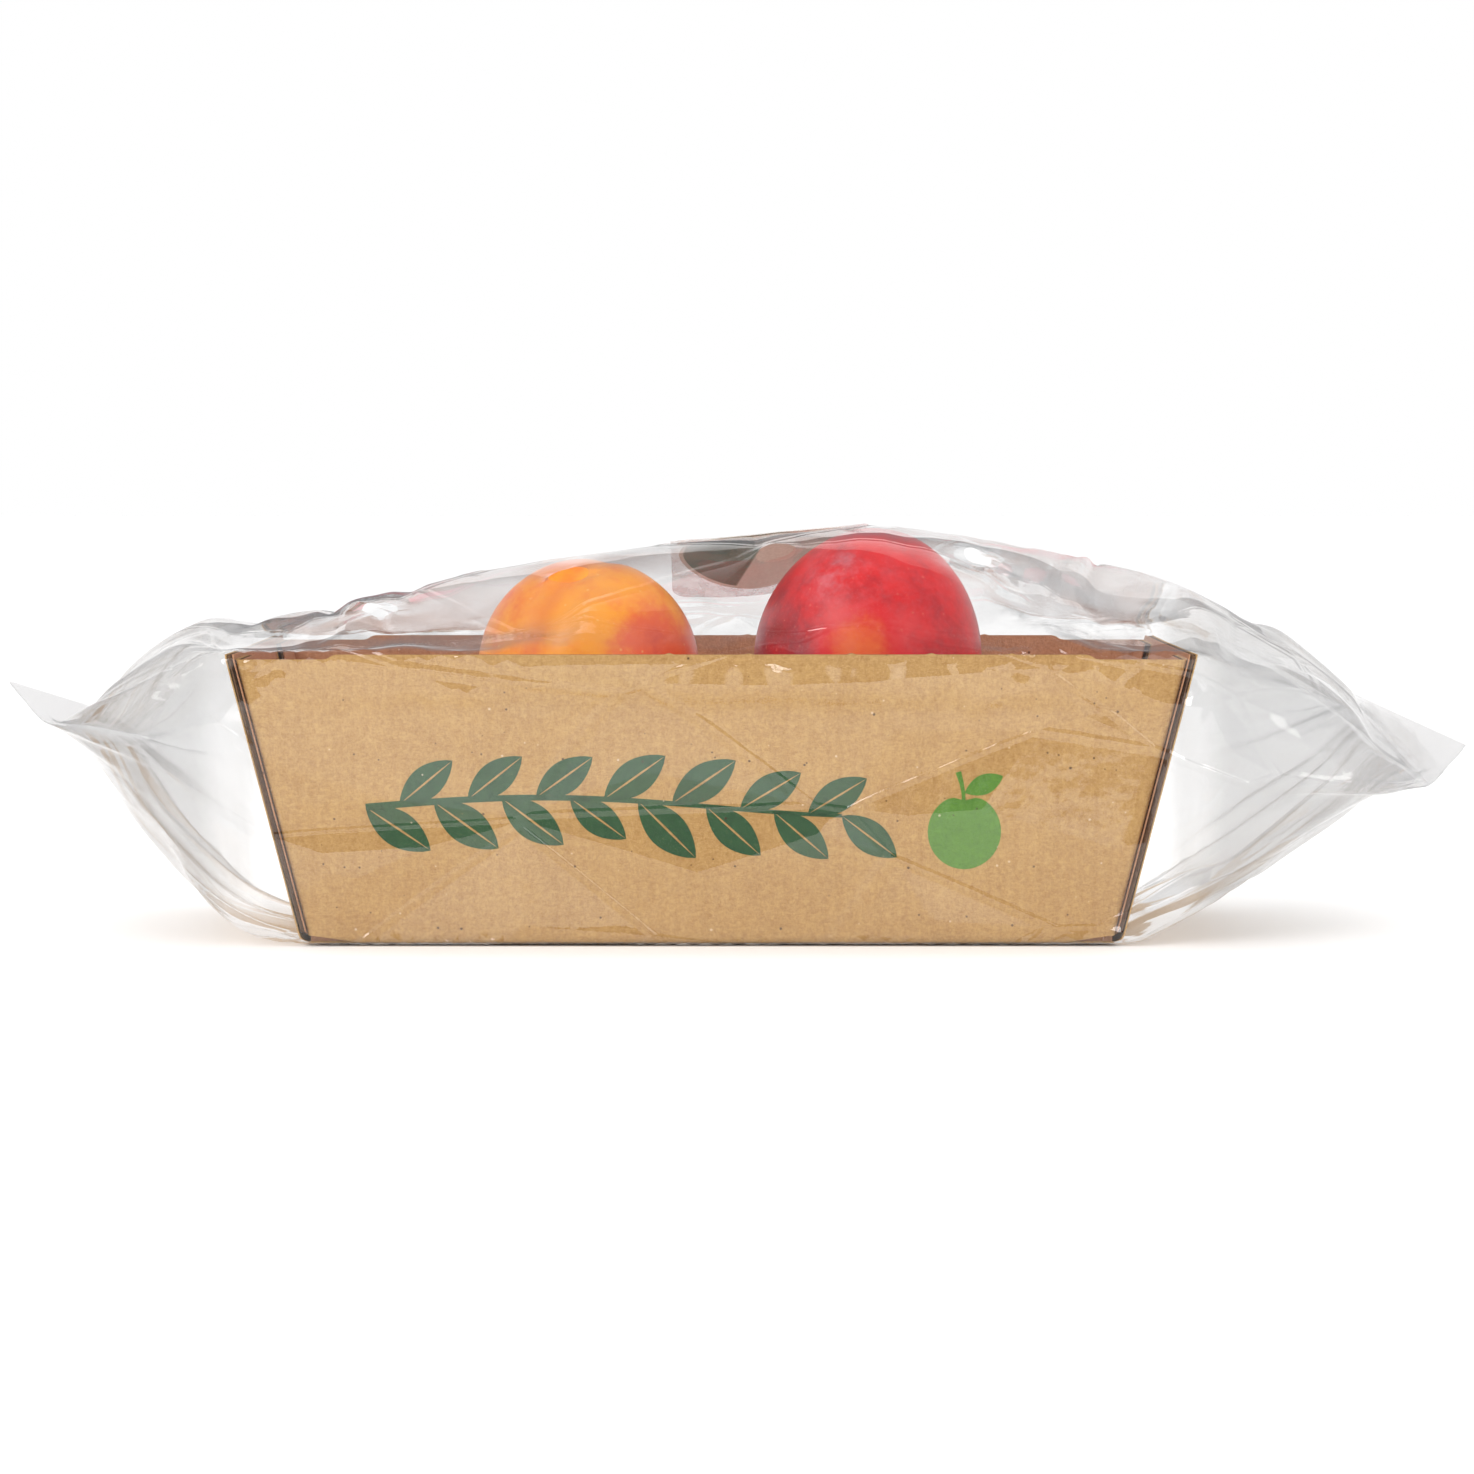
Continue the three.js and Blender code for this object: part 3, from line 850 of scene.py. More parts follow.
leaf_points = np.array([v.co[:2] for v in leaves_mesh.vertices]) / MM
leaf_faces = [list(p.vertices) for p in leaves_mesh.polygons]
bpy.data.objects.remove(stem_object)
print("leaves reach", leaf_points.min(0).round(1), "to", leaf_points.max(0).round(1), "mm")
print_on_wall("print_leaves", leaf_points, leaf_faces, dark_ink)
stem_widths = np.interp(stem_x, [SPRIG_LEFT, SPRIG_RIGHT], [1.5, 0.7])
print_on_wall("print_stem", *ribbon(np.stack([stem_x, stem_z], axis=1), stem_widths), dark_ink)


# %% A fruit with a leaf
def disc(centre_x, centre_z, radius_x, radius_z, rings=7, around=40, notch=0.0):
    """A filled round as rings of points, with a small notch at the top for the stem."""
    flat, faces = [[centre_x, centre_z]], []
    angles = np.linspace(0, 2 * math.pi, around, endpoint=False)
    dip = 1 - notch * np.exp(-(((angles - math.pi / 2) / 0.28) ** 2))
    for ring in range(1, rings + 1):
        share = ring / rings
        x = centre_x + radius_x * share * np.cos(angles) * dip
        z = centre_z + radius_z * share * np.sin(angles) * dip
        flat += np.stack([x, z], axis=1).tolist()
        first, before = 1 + (ring - 1) * around, 1 + (ring - 2) * around
        for i in range(around):
            j = (i + 1) % around
            if ring == 1:
                faces.append([0, first + i, first + j])
            else:
                faces.append([before + i, first + i, first + j, before + j])
    return flat, faces


def single_leaf(base_x, base_z, turn, length, width):
    """A leaf that points in one direction."""
    run = np.linspace(0.01, 0.99, 16)
    reach = run * length
    line = np.stack([base_x + reach * math.cos(turn), base_z + reach * math.sin(turn)], axis=1)
    return ribbon(line, width * np.sin(math.pi * run) ** 0.8)


print_on_wall("print_fruit", *disc(52.4, 24.0, 7.6, 7.9, notch=0.16), light_ink)
fruit_stem = np.array([[52.2, 30.4], [52.1, 32.2], [51.7, 34.2], [51.0, 36.6]])
print_on_wall("print_fruit_stem", *ribbon(fruit_stem, [0.8, 0.8, 0.9, 1.2]), light_ink)
print_on_wall("print_fruit_leaf", *single_leaf(52.4, 32.2, 0.42, 8.6, 4.2), light_ink)

# %% [markdown]
# ## The plums
# A plum is a rounded egg with a seam from stem to tip and a dimple for the stem. Its skin is
# smooth and waxy. Sun brings a blush, so each plum runs from yellow or orange to deep red. Small
# pale dots, the lenticels, sit all over it, and a dusty bloom of wax is rubbed off in patches.
# Each plum is a ball whose points are moved by the same rule as the imported solid, but finer. The
# blush, bloom and seam are kept at the points, for the skin's material to read. On the red plum on
# top, a whitish patch at its top front is also a painted reflection of light that the film mirrors.

# %% Shape the plums
PLUMS = {
    "plum_front_left": ((-58.1, -24.4, 25.6), (50, 48.4, 47.6), (70, 20, 30)),
    "plum_front_middle": ((1.5, -25, 25.5), (49, 47.6, 47), (95, -15, -20)),
    "plum_front_right": ((60.8, -24.3, 25.6), (50, 48, 47.4), (60, 35, 80)),
    "plum_back_left": ((-56, 25.1, 25.9), (49.5, 48, 47.2), (100, 10, 140)),
    "plum_back_middle": ((2.8, 25.2, 25.6), (50, 48, 47.6), (80, -30, 200)),
    "plum_back_right": ((59.6, 25.3, 25.5), (49, 47.8, 47.4), (110, 25, 260)),
    "plum_top_left": ((-27.2, -0.6, 55), (49.6, 48.6, 48), (-42, 28, 252)),
    "plum_top_right": ((33.8, -0.6, 59.6), (53.6, 50.2, 49.2), (183, -9, 270)),
}
SEAM_DEPTH, SEAM_WIDTH = 1.1, 0.2
DIMPLE_DEPTH, DIMPLE_RADIUS = 2.6, 5.5
PLUM_RINGS, PLUM_SEGMENTS = 56, 88


def plum_turn(degrees):
    """The turns about X, Y and Z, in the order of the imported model."""
    turn = Matrix.Identity(3)
    for angle, axis in zip(degrees, "XYZ"):
        turn = turn @ Matrix.Rotation(math.radians(angle), 3, axis)
    return np.array(turn)


def plum_mesh(name, size, turn, centre):
    """A plum with its dimple, seam and slight lumps. Also returns the points before the turn."""
    work = bmesh.new()
    bmesh.ops.create_uvsphere(work, u_segments=PLUM_SEGMENTS, v_segments=PLUM_RINGS, radius=1)
    work.verts.ensure_lookup_table()
    ball = np.array([v.co for v in work.verts])
    faces = [[v.index for v in f.verts] for f in work.faces]
    work.free()
    length, width, thickness = size
    waist = np.hypot(ball[:, 0], ball[:, 1])
    bearing = np.arctan2(ball[:, 1], ball[:, 0])
    fullness = 1 + 0.05 * ball[:, 2] - 0.03 * ball[:, 2] ** 2
    seam = np.exp(-((bearing / SEAM_WIDTH) ** 2)) * waist
    dimple = np.exp(-((waist * width / 2 / DIMPLE_RADIUS) ** 2)) * (ball[:, 2] > 0)
    shape = np.stack(
        [
            ball[:, 0] * width / 2 * fullness,
            ball[:, 1] * thickness / 2 * fullness,
            ball[:, 2] * length / 2,
        ],
        axis=1,
    )
    lumps = np.array([noise.noise(Vector(b) * 1.6 + Vector(centre)) for b in ball])
    shape += ball * (0.12 * (lumps - 0.5) - SEAM_DEPTH * seam)[:, None]
    shape[:, 2] -= DIMPLE_DEPTH * dimple
    placed = shape @ turn.T + np.array(centre)
    obj = add_object(name, placed, faces, 180)
    turn_outward(obj)
    return obj, ball, placed, seam, dimple


print("plums:", len(PLUMS))

# %% [markdown]
# The skin is one node group with two kinds of plum made from it, red and yellow. Colour goes from
# flesh to blush to a dark cheek, broken up by soft clouds and a fine mottle. The bloom whitens it
# and makes it duller, and the same whitening paints the reflection patch on the red plum on top.

# %% Build the plum skin group
skin, skin_in, skin_out = new_group(
    "Plum Skin",
    [
        ("Flesh", "Color", (0.9, 0.5, 0.1, 1)),
        ("Blush", "Color", (0.7, 0.05, 0.03, 1)),
        ("Cheek", "Color", (0.25, 0.01, 0.02, 1)),
        ("Dot", "Color", (0.9, 0.6, 0.4, 1)),
        ("Ripeness", "Float", 0.5),
        ("Bloom", "Float", 0.3),
        ("Seam", "Float", 0.0),
        ("Scar", "Float", 0.0),
    ],
    [("Color", "Color"), ("Roughness", "Float"), ("Height", "Float")],
)
place = add_node(skin, "ShaderNodeTexCoord").outputs["Object"]
cloudy = add_node(
    skin, "ShaderNodeTexNoise", {"Vector": place, "Scale": 130.0, "Detail": 6.0, "Roughness": 0.62}
).outputs["Fac"]
grain = add_node(
    skin, "ShaderNodeTexNoise", {"Vector": place, "Scale": 1500.0, "Detail": 2.0}
).outputs["Fac"]
mottle = add_node(
    skin, "ShaderNodeTexVoronoi", {"Vector": place, "Scale": 900.0}, feature="SMOOTH_F1"
).outputs["Distance"]
from_mean = add_math(skin, "SUBTRACT", cloudy, 0.5)
ripe = add_math(skin, "MULTIPLY_ADD", from_mean, 0.75, skin_in.outputs["Ripeness"])
ripe = add_math(skin, "MULTIPLY_ADD", add_math(skin, "SUBTRACT", mottle, 0.4), 0.12, ripe)
dots = add_node(skin, "ShaderNodeTexVoronoi", {"Vector": place, "Scale": 420.0, "Randomness": 0.9})
dot_kind = add_node(skin, "ShaderNodeSeparateColor", {0: dots.outputs["Color"]}).outputs[0]
dot_size = add_math(skin, "MULTIPLY_ADD", dot_kind, 0.1, 0.035)
in_dot = add_math(skin, "SUBTRACT", dot_size, dots.outputs["Distance"])
dot_mask = add_ramp(skin, in_dot, -0.03, 0.03)
flesh, blush, cheek = (skin_in.outputs[name] for name in ("Flesh", "Blush", "Cheek"))
shade = add_mix(skin, add_ramp(skin, ripe, 0.0, 0.5), flesh, blush)
shade = add_mix(skin, add_ramp(skin, ripe, 0.5, 1.0), shade, cheek)
shade = add_mix(skin, add_math(skin, "MULTIPLY", dot_mask, 0.32), shade, skin_in.outputs["Dot"])
seam_tone = add_math(skin, "MULTIPLY", skin_in.outputs["Seam"], 0.35)
shade = add_mix(skin, seam_tone, shade, cheek)
patchy = add_node(
    skin, "ShaderNodeTexNoise", {"Vector": place, "Scale": 75.0, "Detail": 7.0, "Roughness": 0.7}
).outputs["Fac"]
dust_and_reflection = add_math(skin, "MULTIPLY", add_ramp(skin, patchy, 0.4, 0.68), skin_in.outputs["Bloom"])
dust_and_reflection = add_math(skin, "MULTIPLY_ADD", add_math(skin, "SUBTRACT", grain, 0.5), 0.1, dust_and_reflection)
dust_and_reflection = add_math(skin, "MAXIMUM", dust_and_reflection, 0.0)
# bloom whitens and dulls the skin; this mix also paints the whitish reflection patch on the red
# plum on top
shade = add_mix(skin, add_math(skin, "MULTIPLY", dust_and_reflection, 0.6), shade, colour(206, 176, 190))
scar_colour = add_mix(skin, grain, colour(74, 48, 30), colour(140, 104, 66))
shade = add_mix(skin, skin_in.outputs["Scar"], shade, scar_colour)
skin.links.new(shade, skin_out.inputs["Color"])
rough = add_math(skin, "MULTIPLY_ADD", dust_and_reflection, 0.35, 0.3)
skin.links.new(add_math(skin, "MULTIPLY_ADD", grain, 0.06, rough), skin_out.inputs["Roughness"])
relief = add_math(skin, "MULTIPLY_ADD", dot_mask, 0.5, add_math(skin, "MULTIPLY", grain, 0.35))
relief = add_math(skin, "MULTIPLY_ADD", skin_in.outputs["Scar"], grain, relief)
skin.links.new(relief, skin_out.inputs["Height"])
print("plum skin nodes:", len(skin.nodes))


# %% Mix the two skins
def skin_material(name, flesh, blush, cheek, dot):
    material, tree, shader = new_material(
        name,
        Specular_IOR_Level=0.35,
        Coat_Roughness=0.22,
        Coat_IOR=1.4,
    )
    shader.inputs["Coat Weight"].default_value = 0.08
    group = use_group(tree, skin, {"Flesh": flesh, "Blush": blush, "Cheek": cheek, "Dot": dot})
    for socket, attribute in (
        ("Ripeness", "ripeness"),
        ("Bloom", "bloom_and_reflection"),
        ("Seam", "seam"),
        ("Scar", "scar"),
    ):
        tree.links.new(read_attribute(tree, attribute), group.inputs[socket])
    tree.links.new(group.outputs["Color"], shader.inputs["Base Color"])
    tree.links.new(group.outputs["Roughness"], shader.inputs["Roughness"])
    add_bump(tree, shader, group.outputs["Height"], 0.00008)
    return material


red_skin = skin_material(
    "Red plum skin",
    colour(238, 106, 36),
    colour(222, 14, 20),
    colour(146, 12, 30),
    colour(232, 110, 90),
)
yellow_skin = skin_material(
    "Yellow plum skin",
    colour(250, 162, 40),
    colour(236, 96, 40),
    colour(198, 34, 32),
    colour(255, 210, 130),
)
print("skins:", red_skin.name, yellow_skin.name)


# %% Ripen and place each plum
def near(points, centre, radius):
    """1 at a place and 0 beyond a radius, softly."""
    away = np.linalg.norm(points - np.array(centre), axis=1)
    return 1 - soft_step(0, radius, away)


for order, (name, (centre, size, degrees)) in enumerate(PLUMS.items()):
    turn = plum_turn(degrees)
    piece_name = name.replace("plum", "fruit")
    obj, ball, placed, seam, dimple = plum_mesh(piece_name, size, turn, centre)
    slow = np.array([noise.noise(Vector(b) * 0.9 + Vector((order * 7.3, 0, 0))) for b in ball])
    if name == "plum_top_left":
        ripeness = 0.1 + 0.16 * slow + 0.72 * near(placed, (-10, -21, 62), 17)
        ripeness += 0.75 * soft_step(-9, 0, placed[:, 0])
        bloom_and_reflection = 0.05 + 0.06 * slow
    elif name == "plum_top_right":
        ripeness = 0.6 + 0.14 * slow + 0.3 * (1 - soft_step(9, 22, placed[:, 0]))
        ripeness += 0.1 * soft_step(45, 60, placed[:, 0])
        ripeness -= 0.62 * near(placed, (30.9, -25, 61.5), 13)
        # the patch at the top front is a painted reflection of the film's mirrored light, laid over
        # real bloom
        bloom_and_reflection = 0.05 + 0.1 * slow + 0.55 * near(placed, (28, -17, 77), 13)
    else:
        ripeness = 0.62 + 0.35 * slow + 0.12 * ball[:, 2]
        bloom_and_reflection = 0.25 + 0.25 * slow
    store(obj, "ripeness", np.clip(ripeness, 0, 1.1))
    store(obj, "bloom_and_reflection", np.clip(bloom_and_reflection, 0, 1))
    store(obj, "seam", seam ** 3)
    store(obj, "scar", soft_step(0.72, 0.9, dimple))
    is_yellow = name == "plum_top_left"
    finish_piece(
        obj,
        yellow_skin if is_yellow else red_skin,
        [name],
    )

# %% [markdown]
# ## The film bag
# The bag starts as one flat piece of thin clear film, about 360 mm by 343 mm. It goes round the
# tray as a tube, with its lengthways join underneath, and both ends are pressed flat and welded.
# Rows of punched holes let the fruit breathe.
# A hand-made shell would look like plastic sheet: film pulls into straight tents, cones and soft
# gathers that nobody draws by hand. So the flat pattern is cut here with its holes, laid round
# the tray, and Blender's Cloth pulls it to its true size over the rims and the fruit. It stops
# before all slack is gone, as stiff film keeps some of the shape that it was sealed in. Extra rows
# of points lie along both rims, where the film bends most.

# %% Sizes of the film
GIRTH = 360.0
TUBE_LENGTH = 320.0
SEAL_WIDTH = 11.5
FLAT_LENGTH = TUBE_LENGTH + 2 * SEAL_WIDTH
LEFT_WING = (TUBE_LENGTH - RIM_LENGTH) * 0.42
RIGHT_WING = TUBE_LENGTH - RIM_LENGTH - LEFT_WING
LEFT_SEAL = {
    "fold_x": -133, "fold_x_per_y": 0.01, "fold_z": 42, "fold_z_per_y": -0.068,
    "edge_x": -141, "edge_x_per_y": 0, "edge_z": 49.5, "edge_z_per_y": -0.08,
}
RIGHT_SEAL = {
    "fold_x": 146, "fold_x_per_y": 0.02, "fold_z": 40, "fold_z_per_y": 0.056,
    "edge_x": 149.5, "edge_x_per_y": -0.026, "edge_z": 45.5, "edge_z_per_y": 0.02,
}
RIDGE = np.array(
    [(-104, 66.5), (-85, 71.5), (-46, 78.5), (-27, 81.2), (8, 83.6), (34, 88), (58, 84.5),
     (92, 75.6), (104, 72)]
)
RIDGE_SHARPNESS = 3.2
SEAL_GATHER = 0.945
HOLE_RADIUS = 4.3
HOLE_SPACING = 44.0
HOLE_ROWS = [(156, 13.8), (181, 36.0), (206, 13.8)]
FILM_STEP = 3.15
FILM_FRAMES = 12
FILM_UNDER = 0.08
FRONT_RIM_ROWS = [108.8, 110.4, 112.0]
RIM_ROWS = FRONT_RIM_ROWS + [GIRTH - v for v in FRONT_RIM_ROWS[::-1]]
START_WAVES = 0.9
WING_GATHERS = 3.5
print("flat film:", GIRTH, "x", FLAT_LENGTH, "mm")


# %% Where the film starts
def film_height(x, y):
    """The film over the fruit before it is pulled: a ridge that falls to both rims."""
    share = np.minimum(1, np.abs(y) / (RIM_DEPTH / 2))
    ridge = np.interp(x, RIDGE[:, 0], RIDGE[:, 1])
    return TRAY_HEIGHT + (ridge - TRAY_HEIGHT) * (1 - share**RIDGE_SHARPNESS)


def film_section(x):
    """The film's outline across the tray, from under the middle round the front to the back."""
    slack = 0.8
    under = [(-47 * i / 10, FILM_UNDER) for i in range(11)]
    front = [(-47 - slack - 13 * i / 12, TRAY_HEIGHT * i / 12) for i in range(1, 13)]
    top = [(y, float(film_height(x, y)) + slack) for y in np.linspace(-60, 60, 41)[1:-1]]
    back = [(-y, z) for y, z in front[::-1]]
    home = [(-y, z) for y, z in under[::-1]]
    return np.array(under + front + top + back + home)


def walk(outline, shares):
    """Points at shares of the way round an outline."""
    way = np.concatenate([[0], np.cumsum(np.hypot(*np.diff(outline, axis=0).T))])
    way /= way[-1]
    return np.stack([np.interp(shares, way, outline[:, axis]) for axis in (0, 1)], axis=1)


def seal_points(seal, share, out):
    """Points of a flattened end. share is the place round the tube, out goes from fold to edge."""
    way = share * GIRTH
    above = (way > GIRTH / 4) & (way < GIRTH * 3 / 4)
    y = np.where(above, way - GIRTH / 2, np.where(way < GIRTH / 2, -way, GIRTH - way))
    fold, edge = (
        np.stack(
            [
                seal[line + "_x"] + seal[line + "_x_per_y"] * y,
                y * SEAL_GATHER,
                seal[line + "_z"] + seal[line + "_z_per_y"] * y,
            ],
            axis=1,
        )
        for line in ("fold", "edge")
    )
    run = edge - fold
    upward = np.stack([-run[:, 2], 0 * y, run[:, 0]], axis=1)
    upward *= np.sign(upward[:, 2:3])
    upward /= np.linalg.norm(upward, axis=1)[:, None]
    layer = np.where(above, 0.12, -0.12)[:, None]
    return fold + run * out[:, None] + upward * layer


def unsteady(flat, points):
    """Small waves that the film starts with, so that its slack falls into natural folds."""
    waves = np.array([noise.noise((u * 0.045, v * 0.045, 2.0)) for u, v in flat])
    free = soft_step(2, 14, points[:, 2]) * (1 - soft_step(98, 118, np.abs(points[:, 0])))
    free *= 1 - 0.7 * np.exp(-(((points[:, 2] - TRAY_HEIGHT) / 7) ** 2))
    outward = points * [0.15, 1, 1] - [0, 0, 35]
    outward /= np.linalg.norm(outward, axis=1)[:, None]
    gathers = np.array([noise.noise((u * 0.016, v * 0.085, 6.0)) for u, v in flat])
    beyond = np.minimum(flat[:, 0], FLAT_LENGTH - flat[:, 0]) - SEAL_WIDTH
    in_wing = soft_step(0, 12, beyond) * (1 - soft_step(32, 52, beyond))
    apart = points * [0, 0.2, 3] - [0, 0, 3 * 45]
    apart /= np.linalg.norm(apart, axis=1)[:, None] + 0.01
    rounded = outward * (START_WAVES * (1 + waves) * free)[:, None]
    return rounded + apart * (WING_GATHERS * (0.6 + gathers) * in_wing)[:, None]


def film_start(flat):
    """The first place of the flat film's points: round the tray, and drawn in to both seals."""
    along = flat[:, 0] - SEAL_WIDTH
    share = (flat[:, 1] % GIRTH) / GIRTH
    x = np.clip(along - LEFT_WING - RIM_LENGTH / 2, -RIM_LENGTH / 2, RIM_LENGTH / 2)
    points = np.zeros((len(flat), 3))
    stations = np.round(x / 4) * 4
    for station in np.unique(stations):
        here = stations == station
        points[here, 1:] = walk(film_section(station), share[here])
    level = np.clip(points[:, 2], 0, TRAY_HEIGHT)
    points[:, 0] = x / (RIM_LENGTH / 2) * half_length(level)
    for seal, beyond, reach, fullness in (
        (LEFT_SEAL, LEFT_WING - along, LEFT_WING, 1.75),
        (RIGHT_SEAL, along - LEFT_WING - RIM_LENGTH, RIGHT_WING, 1.35),
    ):
        here = beyond > 0
        way = np.clip(beyond[here] / reach, 0, 1)[:, None]
        out = np.clip((beyond[here] - reach) / SEAL_WIDTH, 0, 1)
        way = np.concatenate([way, way**fullness, way**fullness], axis=1)
        points[here] = points[here] * (1 - way) + seal_points(seal, share[here], out) * way
    return points + unsteady(flat, points)


print("wings:", round(LEFT_WING, 1), "and", round(RIGHT_WING, 1), "mm")


# %% Cut the flat film
def cut_film(step):
    """Triangles of the flat film with its holes, joined round the tube. Returns points, faces."""
    around = round(GIRTH / step)
    rows = round(FLAT_LENGTH / (step * 0.866))
    points = [
        (FLAT_LENGTH * i / rows, GIRTH * (j + 0.5 * (i % 2)) / around)
        for i in range(rows + 1)
        for j in range(around)
    ]
    points = np.array(points)
    for v in RIM_ROWS:
        points = points[np.abs(points[:, 1] - v) > 0.45 * step]
        row = np.arange(0, FLAT_LENGTH, step) + 0.5 * step * (RIM_ROWS.index(v) % 2)
        points = np.concatenate([points, np.stack([row, 0 * row + v], axis=1)])
    first = LEFT_WING + RIM_LENGTH / 2 + SEAL_WIDTH
    holes = [
        (first + offset + HOLE_SPACING * k, v)
        for v, offset in HOLE_ROWS
        for k in range(-3, 3)
        if abs(offset + HOLE_SPACING * k) < 92
    ]
    for u, v in holes:
        points = points[np.hypot(points[:, 0] - u, points[:, 1] - v) > HOLE_RADIUS + 0.35 * step]
    rim, ring_edges = [], []
    for u, v in holes:
        start = len(points) + len(rim)
        for k in range(20):
            turn = 2 * math.pi * k / 20
            rim.append((u + HOLE_RADIUS * math.cos(turn), v + HOLE_RADIUS * math.sin(turn)))
            ring_edges.append((start + k, start + (k + 1) % 20))
    points = np.concatenate([points, rim])
    number = np.arange(len(points))
    low, high = number[points[:, 1] < 12], number[points[:, 1] > GIRTH - 12]
    wide = np.concatenate([points, points[low] + [0, GIRTH], points[high] - [0, GIRTH]])
    original = np.concatenate([number, low, high])
    result = geometry.delaunay_2d_cdt([Vector(p) for p in wide], ring_edges, [], 0, 1e-6)
    corners, triangles, sources = result[0], result[2], result[3]
    kept, faces = set(), []
    for triangle in triangles:
        middle = sum((corners[i] for i in triangle), Vector((0, 0))) / 3
        in_hole = any((middle.x - u) ** 2 + (middle.y - v) ** 2 < HOLE_RADIUS**2 for u, v in holes)
        if not 0 <= middle.y < GIRTH or in_hole:
            continue
        face = [int(original[sources[i][0]]) for i in triangle]
        if len(set(face)) == 3 and tuple(sorted(face)) not in kept:
            kept.add(tuple(sorted(face)))
            faces.append(face)
    return points, faces, len(holes)


film_flat, film_faces, hole_count = cut_film(FILM_STEP)
print(len(film_flat), "points,", len(film_faces), "triangles,", hole_count, "holes")

# %% [markdown]
# The simulation runs at ten times the real size, where Cloth's limits are small beside the film.
# Every edge wants the length that it had in the flat film, rolled into a plain cylinder. The
# seals and the film under the tray are held, and gravity is off, because film this stiff and
# light does not sag.

# %% Set up what the film is pulled over
SIM = 0.01


def collider(name, points, faces, bevel=0.0):
    """A hard shape for the film to lie on."""
    mesh = bpy.data.meshes.new(name)
    mesh.from_pydata((np.asarray(points) * SIM).tolist(), [], faces)
    obj = bpy.data.objects.new(name, mesh)
    bpy.context.scene.collection.objects.link(obj)
    turn_outward(obj)
    if bevel:
        rounding = obj.modifiers.new("Round", "BEVEL")
        rounding.width = bevel * SIM
        rounding.segments = 2
    obj.modifiers.new("Collision", "COLLISION")
    obj.collision.thickness_outer = 0.3 * SIM
    obj.collision.thickness_inner = 1.5 * SIM
    obj.collision.cloth_friction = 8
    obj.collision.damping = 0.5
    return obj


def tray_corners(inset, low):
    corners = []
    for z in (low, TRAY_HEIGHT):
        x, y = half_length(z) - inset, half_depth(z) - inset
        corners += [(-x, -y, z), (x, -y, z), (x, y, z), (-x, y, z)]
    return corners


tray_faces = [(3, 2, 1, 0), (0, 1, 5, 4), (1, 2, 6, 5), (2, 3, 7, 6), (3, 0, 4, 7)]
tray_faces += [(8, 9, 10, 11), (9, 8, 12, 13), (10, 9, 13, 14), (11, 10, 14, 15), (8, 11, 15, 12)]
tray_faces += [(4, 5, 13, 12), (5, 6, 14, 13), (6, 7, 15, 14), (7, 4, 12, 15)]
tray_hull = tray_corners(0, UNDERSIDE) + tray_corners(3, 3)
hard_shapes = [collider("hard_tray", tray_hull, tray_faces, 0.5)]
for name in ("plum_top_left", "plum_top_right"):
    centre, size, degrees = PLUMS[name]
    work = bmesh.new()
    bmesh.ops.create_uvsphere(work, u_segments=24, v_segments=14, radius=1)
    ball = np.array([v.co for v in work.verts]) * (np.array([size[1], size[2], size[0]]) / 2)
    ball_faces = [[v.index for v in f.verts] for f in work.faces]
    work.free()
    hard_shapes.append(
        collider("hard_" + name, ball @ plum_turn(degrees).T + np.array(centre), ball_faces)
    )
print("colliders:", len(hard_shapes))


# %% Pull the film to its size
def simulate_film(flat, faces, frames):
    """Lets the film find its shape. Returns its points in millimetres."""
    start = film_start(flat)
    mesh = bpy.data.meshes.new("film_work")
    mesh.from_pydata((start * SIM).tolist(), [], faces)
    obj = bpy.data.objects.new("film_work", mesh)
    bpy.context.scene.collection.objects.link(obj)
    angle = flat[:, 1] / GIRTH * 2 * math.pi
    radius = GIRTH / (2 * math.pi)
    rolled = np.stack([flat[:, 0], radius * np.sin(angle), radius * np.cos(angle)], axis=1)
    obj.shape_key_add(name="Basis")
    unpulled = obj.shape_key_add(name="unpulled")
    unpulled.data.foreach_set("co", (rolled * SIM).ravel())
    unpulled.value = 0
    welded = (flat[:, 0] <= SEAL_WIDTH) | (flat[:, 0] >= FLAT_LENGTH - SEAL_WIDTH)
    under = (start[:, 2] < 0.3) & (np.abs(start[:, 0]) < 82) & (np.abs(start[:, 1]) < 44)
    held = obj.vertex_groups.new(name="held")
    held.add([int(i) for i in np.where(welded | under)[0]], 1.0, "REPLACE")
    cloth = obj.modifiers.new("Cloth", "CLOTH")
    settings = cloth.settings
    settings.quality = 6
    settings.mass = 0.3
    settings.air_damping = 2.0
    settings.tension_stiffness = settings.compression_stiffness = 40
    settings.shear_stiffness = 24
    settings.bending_stiffness = 0.08
    settings.tension_damping = settings.compression_damping = 15
    settings.shear_damping = 10
    settings.bending_damping = 0.5
    settings.bending_model = "ANGULAR"
    settings.vertex_group_mass = "held"
    settings.pin_stiffness = 50
    settings.rest_shape_key = unpulled
    settings.effector_weights.gravity = 0
    touching = cloth.collision_settings
    touching.distance_min = 0.35 * SIM
    touching.collision_quality = 2
    touching.friction = 5
    touching.use_self_collision = False
    cloth.point_cache.frame_start = 1
    cloth.point_cache.frame_end = frames
    scene = bpy.context.scene
    scene.frame_start, scene.frame_end = 1, frames
    for number in range(1, frames + 1):
        scene.frame_set(number)
    pulled = obj.evaluated_get(bpy.context.evaluated_depsgraph_get()).data
    points = np.empty(len(flat) * 3)
    pulled.vertices.foreach_get("co", points)
    scene.frame_set(1)
    bpy.data.objects.remove(obj)
    return points.reshape(-1, 3) / SIM


film_points = simulate_film(film_flat, film_faces, FILM_FRAMES)
for obj in hard_shapes:
    bpy.data.objects.remove(obj)
film_points[:, 2] = np.maximum(film_points[:, 2], FILM_UNDER)
print("film spans", film_points.min(0).round(1), "to", film_points.max(0).round(1), "mm")

# %% [markdown]
# The welds at both ends are pressed between ribbed jaws, which leave fine ribs across the seal.
# The finished mesh keeps the flat film's own coordinates as a UV map, in metres, so the ribs and
# the haze follow the film and not the room. One subdivision rounds the folds and the holes.

